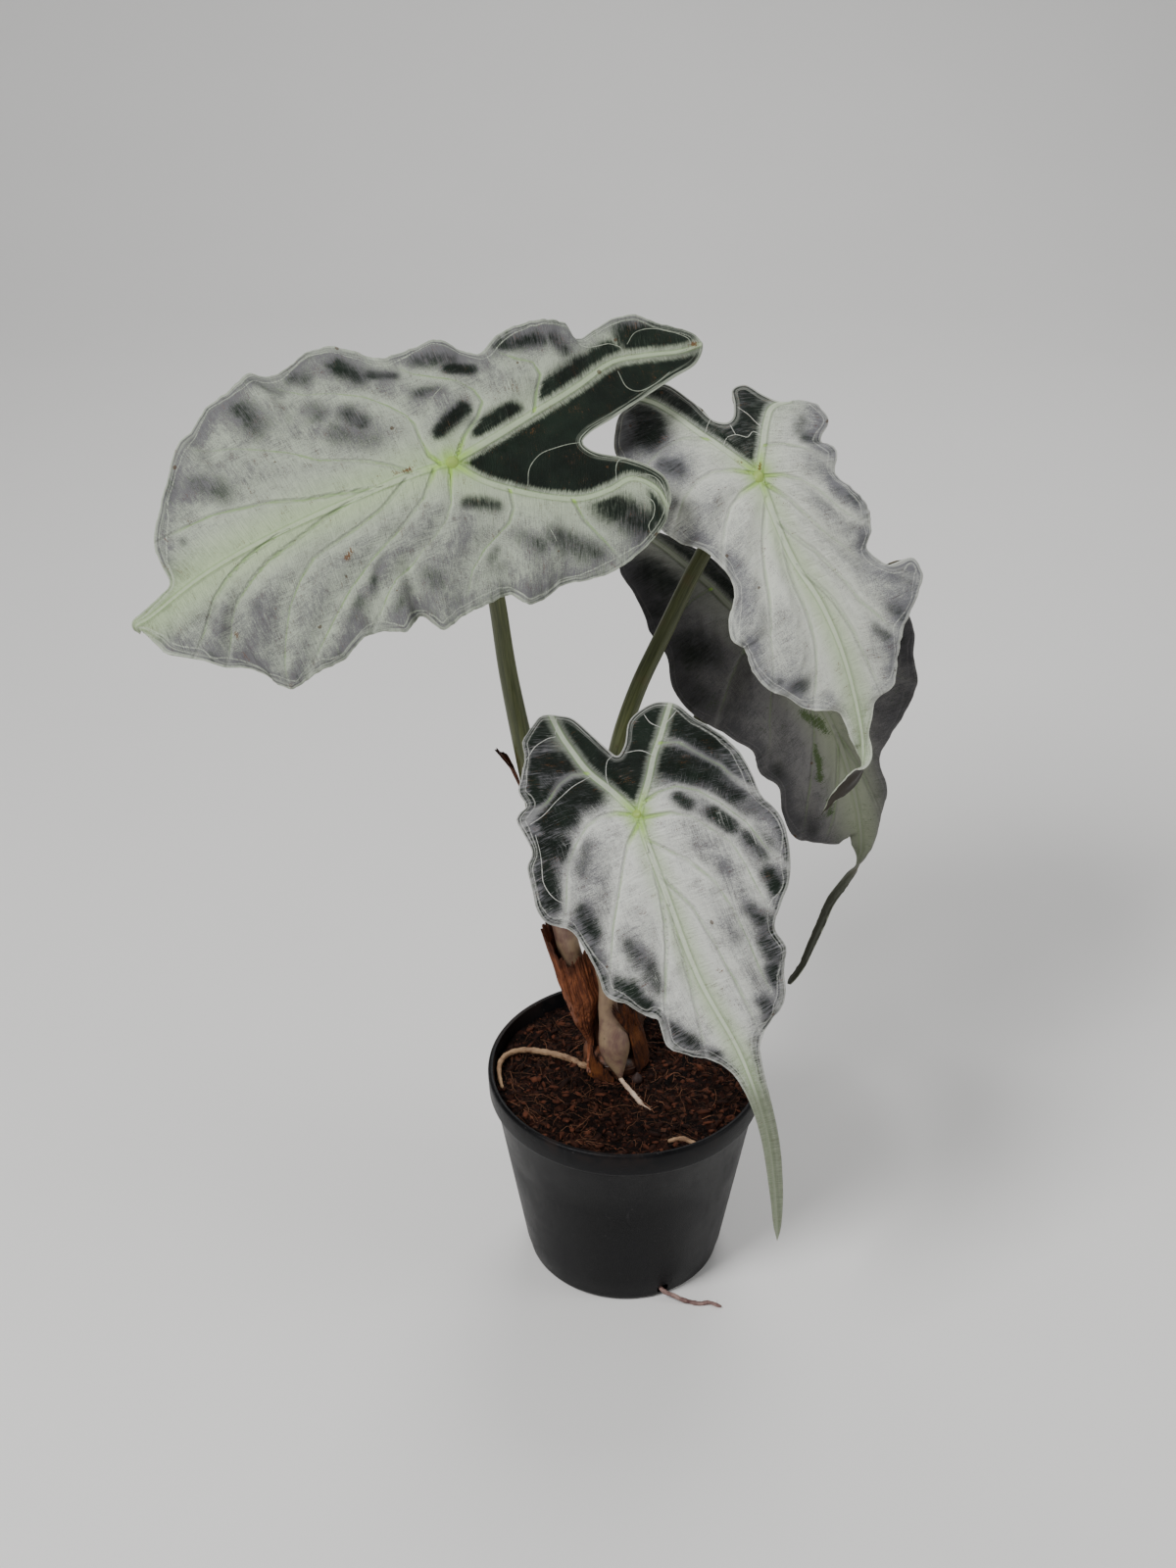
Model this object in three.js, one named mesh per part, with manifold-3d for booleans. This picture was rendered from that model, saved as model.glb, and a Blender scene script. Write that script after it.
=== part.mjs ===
// A potted alocasia: four waved, arrow-shaped blades on fleshy stalks, the papery sheaths round
// their feet, a few bare roots, the soil and a round nursery pot. Millimetres, +Z up, and the
// origin lies in the middle of the pot's base. The plant is seen from -Y.
import * as THREE from "three";
import Module from "manifold-3d";

const wasm = await Module();
wasm.setup();

const POT = {
  height: 100,
  rimRadius: 60,
  rimDrop: 11,
  rimStep: 2.6,
  baseRadius: 43,
  wall: 1.6,
  floor: 2.4,
  holes: 8,
  holeRadius: 4,
  holeRing: 30,
};
const POT_CHAMFER = 2;
const POT_SIDES = 48;
const DRAIN = { sides: 12, length: 8 };
const SOIL_TOP = 93.5;
const SOIL = { sides: 40, rings: 8, bevel: 1.5, inset: 0.6 };
// A low mound round the stem, and two rows of small clods crossing each other.
const MOUND = { x: -4, y: 8, height: 1.4, spread: 500 };
const CLODS = { first: 0.55, second: 0.4 };
const GAP = 0.3;
const BLADE_HALF = 0.45;
const MERGE = 0.01;
const SAMPLES = 400;

// Where a blade is divided from its rib (0) to its margin (1), and how often along its ribs.
const ACROSS = [0, 0.09, 0.26, 0.46, 0.66, 0.84, 1];
const ACROSS_COUNTS = 0.4;
const LOBE_STEPS = 9;
const INNER_STEPS = 14;
// The fold along the midrib is rounded over this width, the margin's waves fade out inwards by
// WAVE_POWER, and the lobes' ribs bend the fan between them by BEND_POWER.
const FOLD_ROUND = 6;
const WAVE_POWER = 2.2;
const BEND_POWER = 6;
// The leaf swells up between its side veins by this share of its width, up to a width.
const PUFF = { share: 0.035, width: 30 };
// The ribs below a blade: how high they stand, how much of that is lost on the way out, and how
// far to each side they reach.
const RIBS_BELOW = { midrib: 1.7, midribLoss: 0.8, lobe: 1.5, lobeLoss: 0.83, reach: 3, samples: 40 };

// Each blade is drawn flat: x runs from the stalk to the tip, y to the left of the midrib seen from
// above. axis is where the midrib's line lies in space, its stalkAt-th point is where the stalk
// joins, and facing is the way its upper face looks. roll turns the blade about that line:
// [x, degrees]. A margin point is [x, y, lift], lift being how far the wave raises it.
const BLADES = {
  left: {
    axis: [
      [18, 24, 385], [-18, 12, 385], [-66, -2, 384], [-105, -13, 373], [-140, -27, 361],
      [-157, -35, 353], [-174, -46, 343], [-178, -47, 341], [-178, -43, 335],
    ],
    stalkAt: 2,
    facing: [-0.12, -0.72, 0.68],
    fold: 0.1,
    camber: 0.004,
    ribSteps: 25,
    laterals: 9,
    leftRib: [[-9, 9], [-21, 15], [-33, 19], [-45, 21], [-56, 19], [-65, 16], [-73, 21], [-76, 30]],
    rightRib: [[-16, -6], [-35, -15], [-53, -23], [-69, -31], [-83, -32], [-97, -32], [-106, -34]],
    left: [
      [-74, 34, 0], [-68, 40, 1], [-59, 46, 0], [-50, 50, -1], [-41, 52, 0], [-33, 52, -2],
      [-24, 57, 0], [-16, 59, 3], [-10, 53, -3], [2, 55, -1], [16, 57, 1], [27, 60, 4],
      [33, 50, -4], [41, 55, 3], [50, 50, -2], [58, 50, 0], [69, 54, 0], [80, 54, 1],
      [97, 55, 3], [104, 47, 0], [109, 39, -2], [116, 33, 0], [121, 24, 1], [125, 17, 3],
      [126, 10, -2], [128, 4, -1], [132, 2, 0],
    ],
    right: [
      [-104, -39, -1], [-98, -43, -2], [-89, -45, 1], [-82, -48, 3], [-73, -48, 2], [-65, -46, -3],
      [-59, -44, -4], [-54, -49, 1], [-45, -50, 4], [-34, -49, 3], [-26, -47, 0], [-19, -42, -4],
      [-12, -44, -1], [-6, -47, 4], [2, -47, 1], [12, -50, -4], [18, -54, 0], [25, -58, 4],
      [34, -60, 2], [40, -60, -3], [47, -61, -5], [52, -62, 2], [61, -58, 3], [70, -56, 2],
      [76, -53, -2], [84, -47, 3], [90, -41, -1], [97, -31, 2], [105, -21, 2], [108, -13, 0],
      [110, -6, -2], [116, -4, 0], [123, -3, 1], [131, -2, 0],
    ],
    inner: [
      [-105, -31, 0], [-101, -26, 0], [-92, -22, 0], [-77, -15, 0], [-64, -9, 0], [-53, -4, 0],
      [-50, -1, 0], [-53, 3, 0], [-66, 8, 0], [-74, 13, 0], [-78, 18, 0], [-78, 26, 0],
    ],
  },
  front: {
    axis: [
      [-1, -15, 278], [3, -45, 258], [13, -62, 235], [26, -77, 205], [42, -86, 176], [53, -88, 141],
      [58, -87, 109], [61, -84, 76],
    ],
    stalkAt: 1,
    facing: [-0.1, -0.8, 0.6],
    fold: 0.1,
    camber: 0.004,
    ribSteps: 25,
    laterals: 8,
    leftRib: [[-14, 6], [-24, 9], [-31, 12], [-38, 15], [-45, 18]],
    rightRib: [[-11, -8], [-21, -17], [-30, -22], [-39, -26], [-48, -29]],
    left: [
      [-43, 21, 0], [-37, 26, 0], [-30, 34, 1], [-22, 41, 0], [-9, 45, 2], [8, 47, 0],
      [16, 50, -2], [23, 51, 1], [33, 49, 1], [43, 45, -1], [50, 39, 2], [59, 34, -2],
      [69, 35, 2], [80, 30, -1], [89, 25, 1], [95, 16, -2], [99, 9, 1], [111, 6, 0],
      [124, 5, 0], [140, 4.5, 0], [159, 4, 0], [181, 3, 0], [196, 1.6, 0],
    ],
    right: [
      [-48, -33, 0], [-44, -37, 0], [-38, -41, 1], [-32, -41, -1], [-23, -42, 2], [-16, -44, 1],
      [-12, -42, -2], [-7, -46, 2], [-2, -44, 0], [2, -43, -2], [6, -46, 1], [12, -47, 0],
      [20, -48, 1], [26, -46, 0], [32, -39, 0], [42, -36, 1], [51, -35, 0], [59, -35, 0],
      [64, -29, 1], [70, -25, -2], [72, -21, 2], [77, -22, -1], [83, -23, 0], [90, -18, 1],
      [98, -11, 0], [107, -6, 0], [117, -4, 0], [129, -3, 0], [153, -2.5, 0], [176, -2, 0],
      [194, -1.2, 0],
    ],
    inner: [
      [-47, -26, 0], [-45, -21, 0], [-38, -15, 0], [-30, -9, 0], [-26, -5, 0], [-30, -2, 0],
      [-40, 1, 0], [-44, 6, 0], [-46, 12, 0],
    ],
  },
  right: {
    axis: [
      [40, 58, 387], [49, 30, 365], [61, 14, 339], [73, 6, 322], [82, 0, 303], [90, -3, 275],
      [92, -3, 263], [92, -4, 255], [87, -7, 249], [81, -11, 245], [76, -14, 238],
    ],
    stalkAt: 1,
    facing: [0.1, -0.75, 0.65],
    roll: [[0, 0], [116, 0], [128, 110], [140, 160], [152, 190]],
    fold: 0.1,
    camber: 0.004,
    ribSteps: 25,
    laterals: 7,
    leftRib: [[-11, 5], [-21, 9], [-27, 13], [-28, 20]],
    rightRib: [[-14, -11], [-23, -19], [-31, -25], [-38, -31], [-42, -37]],
    left: [
      [-28, 24, 0], [-23, 30, 2], [-17, 33, -1], [-9, 28, -2], [0, 31, 3], [9, 29, -2],
      [17, 32, 1], [27, 35, 2], [43, 33, 0], [49, 28, -3], [55, 31, -2], [57, 40, 3],
      [63, 41, 2], [70, 35, 0], [77, 26, 1], [87, 21, -1], [96, 16, 1], [101, 8, -1],
      [106, 5, 1], [113, 3, 0], [121, 4, 0], [128, 5, 0], [136, 3, 0], [144, 1.5, 0],
    ],
    right: [
      [-40, -41, 0], [-36, -46, 0], [-29, -49, 1], [-22, -51, 0], [-9, -50, 0], [1, -48, 0],
      [9, -43, 1], [15, -37, -2], [19, -31, 0], [24, -28, 1], [32, -25, -2], [37, -29, 1],
      [41, -35, 0], [46, -38, 2], [55, -35, -1], [67, -36, 0], [77, -33, 1], [85, -26, -1],
      [92, -21, 0], [95, -14, 2], [101, -7, -2], [106, -6, 0], [113, -5, 1], [120, -3, 0],
      [130, -4, 0], [138, -3, 0], [145, -1.5, 0],
    ],
    inner: [
      [-45, -33, 0], [-46, -26, 0], [-36, -17, 0], [-26, -11, 0], [-24, -6, 0], [-26, -3, 0],
      [-32, -1, 0], [-38, 0, 0], [-39, 5, 0], [-33, 11, 0], [-29, 16, 0],
    ],
  },
  rear: {
    axis: [
      [48, 100, 285], [59, 80, 270], [73, 68, 255], [86, 59, 239], [96, 52, 214], [102, 48, 185],
      [101, 47, 174], [96, 44, 166], [90, 42, 157], [86, 41, 145], [82, 41, 132], [79, 42, 121],
      [74, 44, 110],
    ],
    stalkAt: 1,
    facing: [0, -0.85, 0.53],
    roll: [[0, 0], [106, 0], [122, 150], [140, 200], [165, 190], [190, 230]],
    fold: 0.1,
    camber: 0.004,
    ribSteps: 28,
    laterals: 7,
    leftRib: [[-14, 9], [-28, 15], [-41, 20], [-53, 26], [-62, 32]],
    rightRib: [[-16, -8], [-29, -12], [-42, -17], [-56, -23], [-67, -29]],
    left: [
      [-60, 39, 0], [-50, 45, 1], [-38, 47, 0], [-26, 49, -1], [-12, 51, 1], [2, 53, 0],
      [14, 54, 1], [27, 54, 0], [37, 51, -1], [43, 44, 1], [49, 41, -1], [55, 32, 1],
      [63, 21, -1], [70, 14, 0], [83, 14, 1], [94, 10, -1], [105, 6, 0], [112, 3, 0],
      [130, 2.2, 0], [150, 2, 0], [170, 1.6, 0], [185, 1, 0],
    ],
    right: [
      [-67, -35, 0], [-62, -40, 0], [-54, -44, 0], [-42, -43, 1], [-30, -43, 0], [-22, -44, -1],
      [-8, -42, 1], [0, -46, 0], [7, -46, 1], [16, -43, -1], [29, -38, 0], [37, -35, 1],
      [57, -36, -1], [66, -31, 2], [81, -32, -1], [96, -29, 1], [103, -20, 0], [105, -11, 1],
      [99, -6, -1], [108, -4, 0], [118, -2.4, 0], [136, -2.2, 0], [155, -2, 0], [172, -1.5, 0],
      [186, -1, 0],
    ],
    inner: [
      [-64, -23, 0], [-52, -13, 0], [-41, -6, 0], [-32, -3, 0], [-26, 0, 0], [-31, 5, 0],
      [-41, 10, 0], [-52, 17, 0], [-60, 25, 0],
    ],
  },
};

// The stalks, from their sockets to their blades: [x, y, z, radius].
const STALKS = {
  left: [
    [-13, 13, 97, 4.4], [-14, 13, 112, 4.8], [-18, 12.5, 132, 5], [-23.5, 13, 152, 4.8],
    [-28.5, 14, 172, 4.5], [-35.5, 15, 211, 4.4], [-42, 16, 250, 4.2], [-48, 17, 286, 3.7],
    [-51.5, 17, 316, 3.4], [-56, 15, 350, 3.3], [-62, 10, 373, 3.2], [-66.5, -2, 384, 3],
  ],
  front: [
    [-6, 2.5, 97, 4.2], [-6.5, 3, 106, 5.8], [-8.5, 3.5, 118, 5.6], [-11.5, 3.5, 136, 4.6],
    [-12, 1, 165, 4.2], [-10, -9, 205, 3.8], [-4, -24, 238, 3.5], [3, -44, 258, 3],
  ],
  right: [
    [-4, 18, 97, 4], [-4, 19, 125, 4], [-5, 20, 165, 4], [-6, 20, 205, 3.9], [-6, 21, 232, 3.8],
    [-3, 22, 252, 3.7], [4, 26, 274, 3.5], [13, 30, 294, 3.4], [27, 36, 324, 3.2],
    [39, 38, 347, 3.1], [49.5, 30, 364.5, 3],
  ],
  rear: [
    [3, 11, 97, 3.9], [5, 16, 125, 3.9], [9, 28, 160, 3.8], [18, 46, 205, 3.6],
    [33, 66, 238, 3.4], [48, 81, 260, 3.2], [59, 80, 270, 2.8],
  ],
};

// The short stem that the stalks stand in, turned about a vertical axis: [radius, z].
const STEM = { x: -4.5, y: 10.5, sides: 24 };
const STEM_PROFILE = [
  [3, 80], [7, 83], [11, 88], [13.4, 93], [14.4, 98], [13.6, 101.5], [11.5, 103.5],
];

// Dried sheaths: a strip round a stalk or the stem, from angle a0 to a1 in degrees, 0 being +X.
// rings is [share of the way up, radius], tear is how deep its upper edge is torn.
const SHEATHS = {
  sheath_funnel: {
    spine: [[-13.5, 12, 98], [-15, 11, 112], [-18, 11, 130], [-22, 11, 148], [-27, 11.5, 166]],
    a0: -285,
    a1: 20,
    rings: [[0, 6.2], [0.25, 7.4], [0.5, 9], [0.75, 10.2], [1, 10.4]],
    rise: [[-285, 0.8], [-190, 1], [-150, 0.94], [-95, 0.7], [-40, 0.82], [20, 0.76]],
    steps: [14, 6],
  },
  sheath_side: {
    spine: [[-4.5, 10.5, 96], [-5.5, 10, 108], [-8, 9.5, 126]],
    a0: -62,
    a1: 40,
    rings: [[0, 15.6], [0.4, 14.8], [0.75, 13.4], [1, 13.6]],
    rise: [[-62, 0.72], [-45, 1], [-20, 0.9], [5, 0.6], [40, 0.7]],
    steps: [9, 5],
  },
  sheath_foot: {
    spine: [[-4.5, 10.5, 94.8], [-4.5, 10.5, 110]],
    a0: -135,
    a1: -92,
    rings: [[0, 17], [0.5, 15.9], [1, 15.2]],
    rise: [[-135, 1], [-112, 0.6], [-92, 0.3]],
    steps: [7, 4],
  },
};
const SHEATH_HALF = 0.4;

// A scrap of dried sheath left on the left stalk.
const SCRAP = {
  spine: [[-41.6, 15.6, 232], [-43, 15.8, 241], [-45.2, 16, 252]],
  a0: 150,
  a1: 235,
  rings: [[0, 2.3], [0.5, 4.4], [1, 8.6]],
  rise: [[150, 0.7], [190, 1], [235, 0.6]],
  steps: [5, 3],
};

// Bare roots: [x, y, height of the middle over the soil, radius], and one that comes out of a slot in
// the pot's foot on to the table: [x, y, z, radius].
const ROOTS = {
  root_arching: [
    [-18.5, 3.5, 0.3, 1.5], [-24, 9.5, 1.6, 1.5], [-34.5, 15.5, 2.4, 1.4], [-45, 17, 2.4, 1.3],
    [-51, 13, 2.4, 1.2], [-54, 6.5, 2, 1.1], [-54.3, -1, 1.2, 1], [-53, -7, -0.3, 0.8],
  ],
  root_white: [[-2, -4, 0.8, 1.6], [0, -9, 0.9, 1.3], [5, -17, 0.7, 0.9], [13, -24, 0, 0.6]],
  root_small: [
    [18, -43.5, -0.4, 0.9], [22, -42.4, 0.5, 1.1], [26.5, -43.2, 0.5, 1], [29.5, -45.5, -0.4, 0.7],
  ],
};
const TABLE_ROOT = [
  [15, -38, 5.2, 0.9], [17.5, -42, 4.2, 1], [20.5, -45, 1.6, 1], [26, -44.5, 1.1, 1],
  [33, -47, 1.1, 0.9], [42, -47.5, 1, 0.7],
];
const ROOT_TUBE = { sides: 8, steps: 14 };
const STALK_SIDES = 10;
const STALK_STEPS = { left: 22, front: 16, right: 20, rear: 16 };
const SLOT = { width: 5, low: 2.9, high: 7.6, depth: 14 };
const BUD = { x: 5, y: -5.2, radius: 2.6, height: 6.5, sunk: 1.5, sides: 12, rings: 7 };

const material = (color, roughness, metalness = 0) =>
  new THREE.MeshStandardMaterial({ color, roughness, metalness, side: THREE.DoubleSide });
const FINISH = {
  blade: material(0xb9c7b6, 0.55),
  stalk: material(0x6f7a48, 0.5),
  stem: material(0x8a5a38, 0.8),
  sheath: material(0xa35c30, 0.85),
  root: material(0xc9a883, 0.7),
  soil: material(0x2a1510, 1),
  pot: material(0x101114, 0.42),
};

const v3 = ([x, y, z]) => new THREE.Vector3(x, y, z);
const flat = ([x, y, lift = 0]) => new THREE.Vector3(x, y, lift);
const smooth = (points) => new THREE.CatmullRomCurve3(points, false, "centripetal");

// Straight steps between [at, value] pairs.
function between(pairs, at) {
  let value = pairs[0][1];
  for (let i = 1; i < pairs.length; i++) {
    const [a, va] = pairs[i - 1];
    const [b, vb] = pairs[i];
    if (at >= a) value = va + (vb - va) * Math.min(1, (at - a) / (b - a));
  }
  return value;
}

// A mesh from a list of points and triangles. Points closer than MERGE become one, and a triangle
// that shrinks to a line by that is dropped.
function meshOf(points, triangles) {
  const kept = [];
  const number = points.map((p) => {
    const near = kept.findIndex((q) => Math.hypot(p[0] - q[0], p[1] - q[1], p[2] - q[2]) < MERGE);
    return near < 0 ? kept.push(p) - 1 : near;
  });
  const faces = triangles
    .map((t) => t.map((i) => number[i]))
    .filter(([a, b, c]) => a !== b && b !== c && c !== a);
  const geometry = new THREE.BufferGeometry();
  geometry.setAttribute("position", new THREE.Float32BufferAttribute(kept.flat(), 3));
  geometry.setIndex(faces.flat());
  return geometry;
}

// Two triangles for each cell of a grid of rows, whose first vertex has the number first.
function gridTriangles(first, rows, columns, flip) {
  const triangles = [];
  for (let i = 0; i < rows; i++)
    for (let j = 0; j < columns; j++) {
      const a = first + i * (columns + 1) + j;
      const b = a + 1;
      const c = a + columns + 1;
      const d = c + 1;
      triangles.push(...(flip ? [[a, b, c], [b, d, c]] : [[a, c, b], [b, c, d]]));
    }
  return triangles;
}

// Gives a thin sheet its body: its vertices are moved up and down along their normals, both faces
// are split alike, and a strip closes the edge. up and down are distances for each vertex.
function thicken(sheet, up, down) {
  sheet.computeVertexNormals();
  const position = sheet.attributes.position;
  const normal = sheet.attributes.normal;
  const index = sheet.index.array;
  const count = position.count;
  const points = [];
  for (const side of [1, -1])
    for (let i = 0; i < count; i++) {
      const p = new THREE.Vector3().fromBufferAttribute(position, i);
      const n = new THREE.Vector3().fromBufferAttribute(normal, i);
      points.push(p.addScaledVector(n, side > 0 ? up(i) : -down(i)).toArray());
    }
  const triangles = [];
  const edges = new Map();
  for (let i = 0; i < index.length; i += 3) {
    const t = [index[i], index[i + 1], index[i + 2]];
    triangles.push(t, [t[0] + count, t[2] + count, t[1] + count]);
    for (let k = 0; k < 3; k++) {
      const [a, b] = [t[k], t[(k + 1) % 3]];
      if (!edges.delete(b + "," + a)) edges.set(a + "," + b, [a, b]);
    }
  }
  for (const [a, b] of edges.values())
    triangles.push([a, a + count, b], [b, a + count, b + count]);
  const geometry = new THREE.BufferGeometry();
  geometry.setAttribute("position", new THREE.Float32BufferAttribute(points.flat(), 3));
  geometry.setIndex(triangles.flat());
  return geometry;
}

// The place of a flat point in space: along the axis, across it, and up by fold, camber and lift.
function bladePlacer(blade) {
  const curve = smooth(blade.axis.map(v3));
  const total = curve.getLength();
  const share = blade.stalkAt / (blade.axis.length - 1);
  const lengths = curve.getLengths(SAMPLES);
  const start = lengths[Math.round(share * SAMPLES)];
  const facing = v3(blade.facing).normalize();
  return {
    end: total - start,
    place(x, y, lift) {
      const along = THREE.MathUtils.clamp((x + start) / total, 0, 1);
      const tangent = curve.getTangentAt(along);
      const beyond = x + start - along * total;
      const normal = facing.clone().addScaledVector(tangent, -facing.dot(tangent)).normalize();
      const roll = THREE.MathUtils.degToRad(between(blade.roll ?? [[0, 0], [1, 0]], x));
      normal.applyAxisAngle(tangent, roll);
      const across = new THREE.Vector3().crossVectors(normal, tangent);
      const fold = blade.fold * (Math.hypot(y, FOLD_ROUND) - FOLD_ROUND);
      const height = fold - (blade.camber * y * y) / 2 + lift;
      return curve.getPointAt(along)
        .addScaledVector(tangent, beyond)
        .addScaledVector(across, y)
        .addScaledVector(normal, height);
    },
  };
}

// Points along a margin at shares of its length, in which a millimetre across the blade counts less
// than one along it. So the rows that end there stay apart where the blade narrows suddenly.
function marginReader(margin) {
  const samples = margin.getSpacedPoints(SAMPLES);
  const run = [0];
  for (let i = 1; i < samples.length; i++) {
    const step = samples[i].clone().sub(samples[i - 1]);
    run.push(run[i - 1] + Math.hypot(step.x, ACROSS_COUNTS * step.y));
  }
  return (share) => {
    const at = share * run.at(-1);
    const i = Math.max(1, run.findIndex((r) => r >= at - 1e-6));
    return samples[i - 1].clone().lerp(samples[i], (at - run[i - 1]) / (run[i] - run[i - 1]));
  };
}

// The flat net of a blade: two outer patches from the ribs to the margins, and a fan between the
// ribs of the two lobes. Each point is [x, y, lift].
function bladeNet(blade, end) {
  const origin = new THREE.Vector3();
  const tip = new THREE.Vector3(end, 0, 0);
  const ribs = {
    left: smooth([origin, ...blade.leftRib.map(flat)]),
    right: smooth([origin, ...blade.rightRib.map(flat)]),
  };
  const rows = LOBE_STEPS + blade.ribSteps;
  const columns = ACROSS.length - 1;
  const points = [];
  const triangles = [];
  for (const side of ["left", "right"]) {
    const rib = ribs[side];
    const lobe = rib.getLength();
    const marginAt = marginReader(smooth([rib.getPoint(1), ...blade[side].map(flat), tip]));
    triangles.push(...gridTriangles(points.length, rows, columns, side === "left"));
    for (let i = 0; i <= rows; i++) {
      const back = 1 - i / LOBE_STEPS;
      const ahead = (i - LOBE_STEPS) / blade.ribSteps;
      const from = back > 0 ? rib.getPointAt(back) : tip.clone().multiplyScalar(ahead);
      const passed = back > 0 ? lobe * (1 - back) : lobe + end * ahead;
      const to = marginAt(passed / (lobe + end));
      const wave = 0.5 - 0.5 * Math.cos(2 * Math.PI * blade.laterals * (i / rows));
      for (const t of ACROSS) {
        const p = from.clone().lerp(to, t);
        const width = from.distanceTo(to);
        const puff = PUFF.share * Math.min(width, PUFF.width) * wave * Math.sin(Math.PI * t);
        points.push([p.x, p.y, to.z * t ** WAVE_POWER + puff]);
      }
    }
  }
  const inside = smooth([ribs.right.getPoint(1), ...blade.inner.map(flat), ribs.left.getPoint(1)]);
  triangles.push(...gridTriangles(points.length, INNER_STEPS, LOBE_STEPS, true));
  for (let i = 0; i <= INNER_STEPS; i++) {
    const s = i / INNER_STEPS;
    const to = inside.getPointAt(s);
    for (let j = 0; j <= LOBE_STEPS; j++) {
      const t = j / LOBE_STEPS;
      const p = to.clone().multiplyScalar(t);
      for (const [rib, weight] of [[ribs.right, 1 - s], [ribs.left, s]]) {
        const bend = rib.getPointAt(t).addScaledVector(rib.getPoint(1), -t);
        p.addScaledVector(bend, weight ** BEND_POWER);
      }
      points.push([p.x, p.y, 0]);
    }
  }
  return { net: meshOf(points, triangles), ribs };
}

// A blade's solid: its ribs stand out below, thick at the stalk and fading to the tip and the lobes.
function bladeSolid(blade, extra = 0) {
  const { end, place } = bladePlacer(blade);
  const { net, ribs } = bladeNet(blade, end);
  const position = net.attributes.position;
  const { midrib, midribLoss, lobe, lobeLoss, reach, samples } = RIBS_BELOW;
  const lobes = ["left", "right"].map((side) => ribs[side].getSpacedPoints(samples));
  const standing = (height, away) => height * Math.exp(-((away / reach) ** 2));
  const rise = [];
  for (let i = 0; i < position.count; i++) {
    const p = new THREE.Vector3().fromBufferAttribute(position, i);
    const fromMidrib = p.x < 0 ? Math.hypot(p.x, p.y) : Math.abs(p.y);
    const passed = THREE.MathUtils.clamp(p.x / end, 0, 1);
    let height = standing(midrib * (1 - midribLoss * passed), fromMidrib);
    for (const line of lobes)
      line.forEach((q, k) => {
        const left = 1 - (lobeLoss * k) / samples;
        height = Math.max(height, standing(lobe * left, Math.hypot(p.x - q.x, p.y - q.y)));
      });
    rise.push(height);
    position.setXYZ(i, ...place(p.x, p.y, p.z).toArray());
  }
  return thicken(net, () => BLADE_HALF + extra, (i) => BLADE_HALF + rise[i] + extra);
}

// A round stalk or root of changing radius along a smooth curve through [x, y, z, radius] points.
function taperedTube(stations, sides, steps, extra = 0) {
  const curve = smooth(stations.map(v3));
  const radii = smooth(stations.map(([, , , r], i) => new THREE.Vector3(i, r, 0)));
  const frames = curve.computeFrenetFrames(steps, false);
  const points = [];
  const triangles = gridTriangles(0, steps, sides, true);
  for (let i = 0; i <= steps; i++) {
    const u = i / steps;
    const radius = radii.getPoint(curve.getUtoTmapping(u)).y + extra;
    for (let k = 0; k <= sides; k++) {
      const angle = (2 * Math.PI * (k % sides)) / sides;
      const p = curve.getPointAt(u)
        .addScaledVector(frames.normals[i], radius * Math.cos(angle))
        .addScaledVector(frames.binormals[i], radius * Math.sin(angle));
      points.push(p.toArray());
    }
  }
  for (const [ring, u, flip] of [[0, 0, false], [steps, 1, true]]) {
    const centre = points.length;
    const out = curve.getTangentAt(u).multiplyScalar((u ? 1 : -1) * extra);
    points.push(curve.getPointAt(u).add(out).toArray());
    for (let k = 0; k < sides; k++) {
      const a = ring * (sides + 1) + k;
      triangles.push(flip ? [centre, a, a + 1] : [centre, a + 1, a]);
    }
  }
  return meshOf(points, triangles);
}

// A curled strip round a spine, torn along its upper edge.
function sheathSolid(sheath, extra = 0) {
  const spine = smooth(sheath.spine.map(v3));
  const [turns, lifts] = sheath.steps;
  const points = [];
  for (let i = 0; i <= turns; i++) {
    const degrees = sheath.a0 + ((sheath.a1 - sheath.a0) * i) / turns;
    const angle = THREE.MathUtils.degToRad(degrees);
    const top = between(sheath.rise, degrees) * (1 - 0.07 * (i % 2));
    for (let j = 0; j <= lifts; j++) {
      const share = (top * j) / lifts;
      const radius = between(sheath.rings, share);
      const p = spine.getPointAt(share);
      points.push([p.x + radius * Math.cos(angle), p.y + radius * Math.sin(angle), p.z]);
    }
  }
  const sheet = meshOf(points, gridTriangles(0, turns, lifts, false));
  const half = () => SHEATH_HALF + extra;
  return thicken(sheet, half, half);
}

// A solid of revolution about a vertical line from an outline of [radius, z] points.
function turned(outline, segments, x = 0, y = 0) {
  const lathe = new THREE.LatheGeometry(outline.map(([r, z]) => new THREE.Vector2(r, z)), segments);
  lathe.rotateX(Math.PI / 2);
  lathe.translate(x, y, 0);
  return lathe;
}

function toSolid(geometry) {
  const position = geometry.attributes.position;
  const points = Array.from({ length: position.count }, (_, i) =>
    new THREE.Vector3().fromBufferAttribute(position, i).toArray(),
  );
  const index = geometry.index ? geometry.index.array : points.map((_, i) => i);
  const triangles = [];
  for (let i = 0; i < index.length; i += 3) triangles.push([index[i], index[i + 1], index[i + 2]]);
  const merged = meshOf(points, triangles);
  return new wasm.Manifold(
    new wasm.Mesh({
      numProp: 3,
      vertProperties: merged.attributes.position.array,
      triVerts: new Uint32Array(merged.index.array),
    }),
  );
}

function toGeometry(solid) {
  const { vertProperties, triVerts } = solid.getMesh();
  const geometry = new THREE.BufferGeometry();
  geometry.setAttribute("position", new THREE.Float32BufferAttribute(vertProperties, 3));
  geometry.setIndex(Array.from(triVerts));
  return geometry;
}

// Cuts tools out of a body and keeps the largest piece that is left.
function cut(body, tools) {
  let left = toSolid(body);
  for (const tool of tools) left = left.subtract(toSolid(tool));
  const pieces = left.decompose().sort((a, b) => b.volume() - a.volume());
  return toGeometry(pieces[0]);
}

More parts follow.
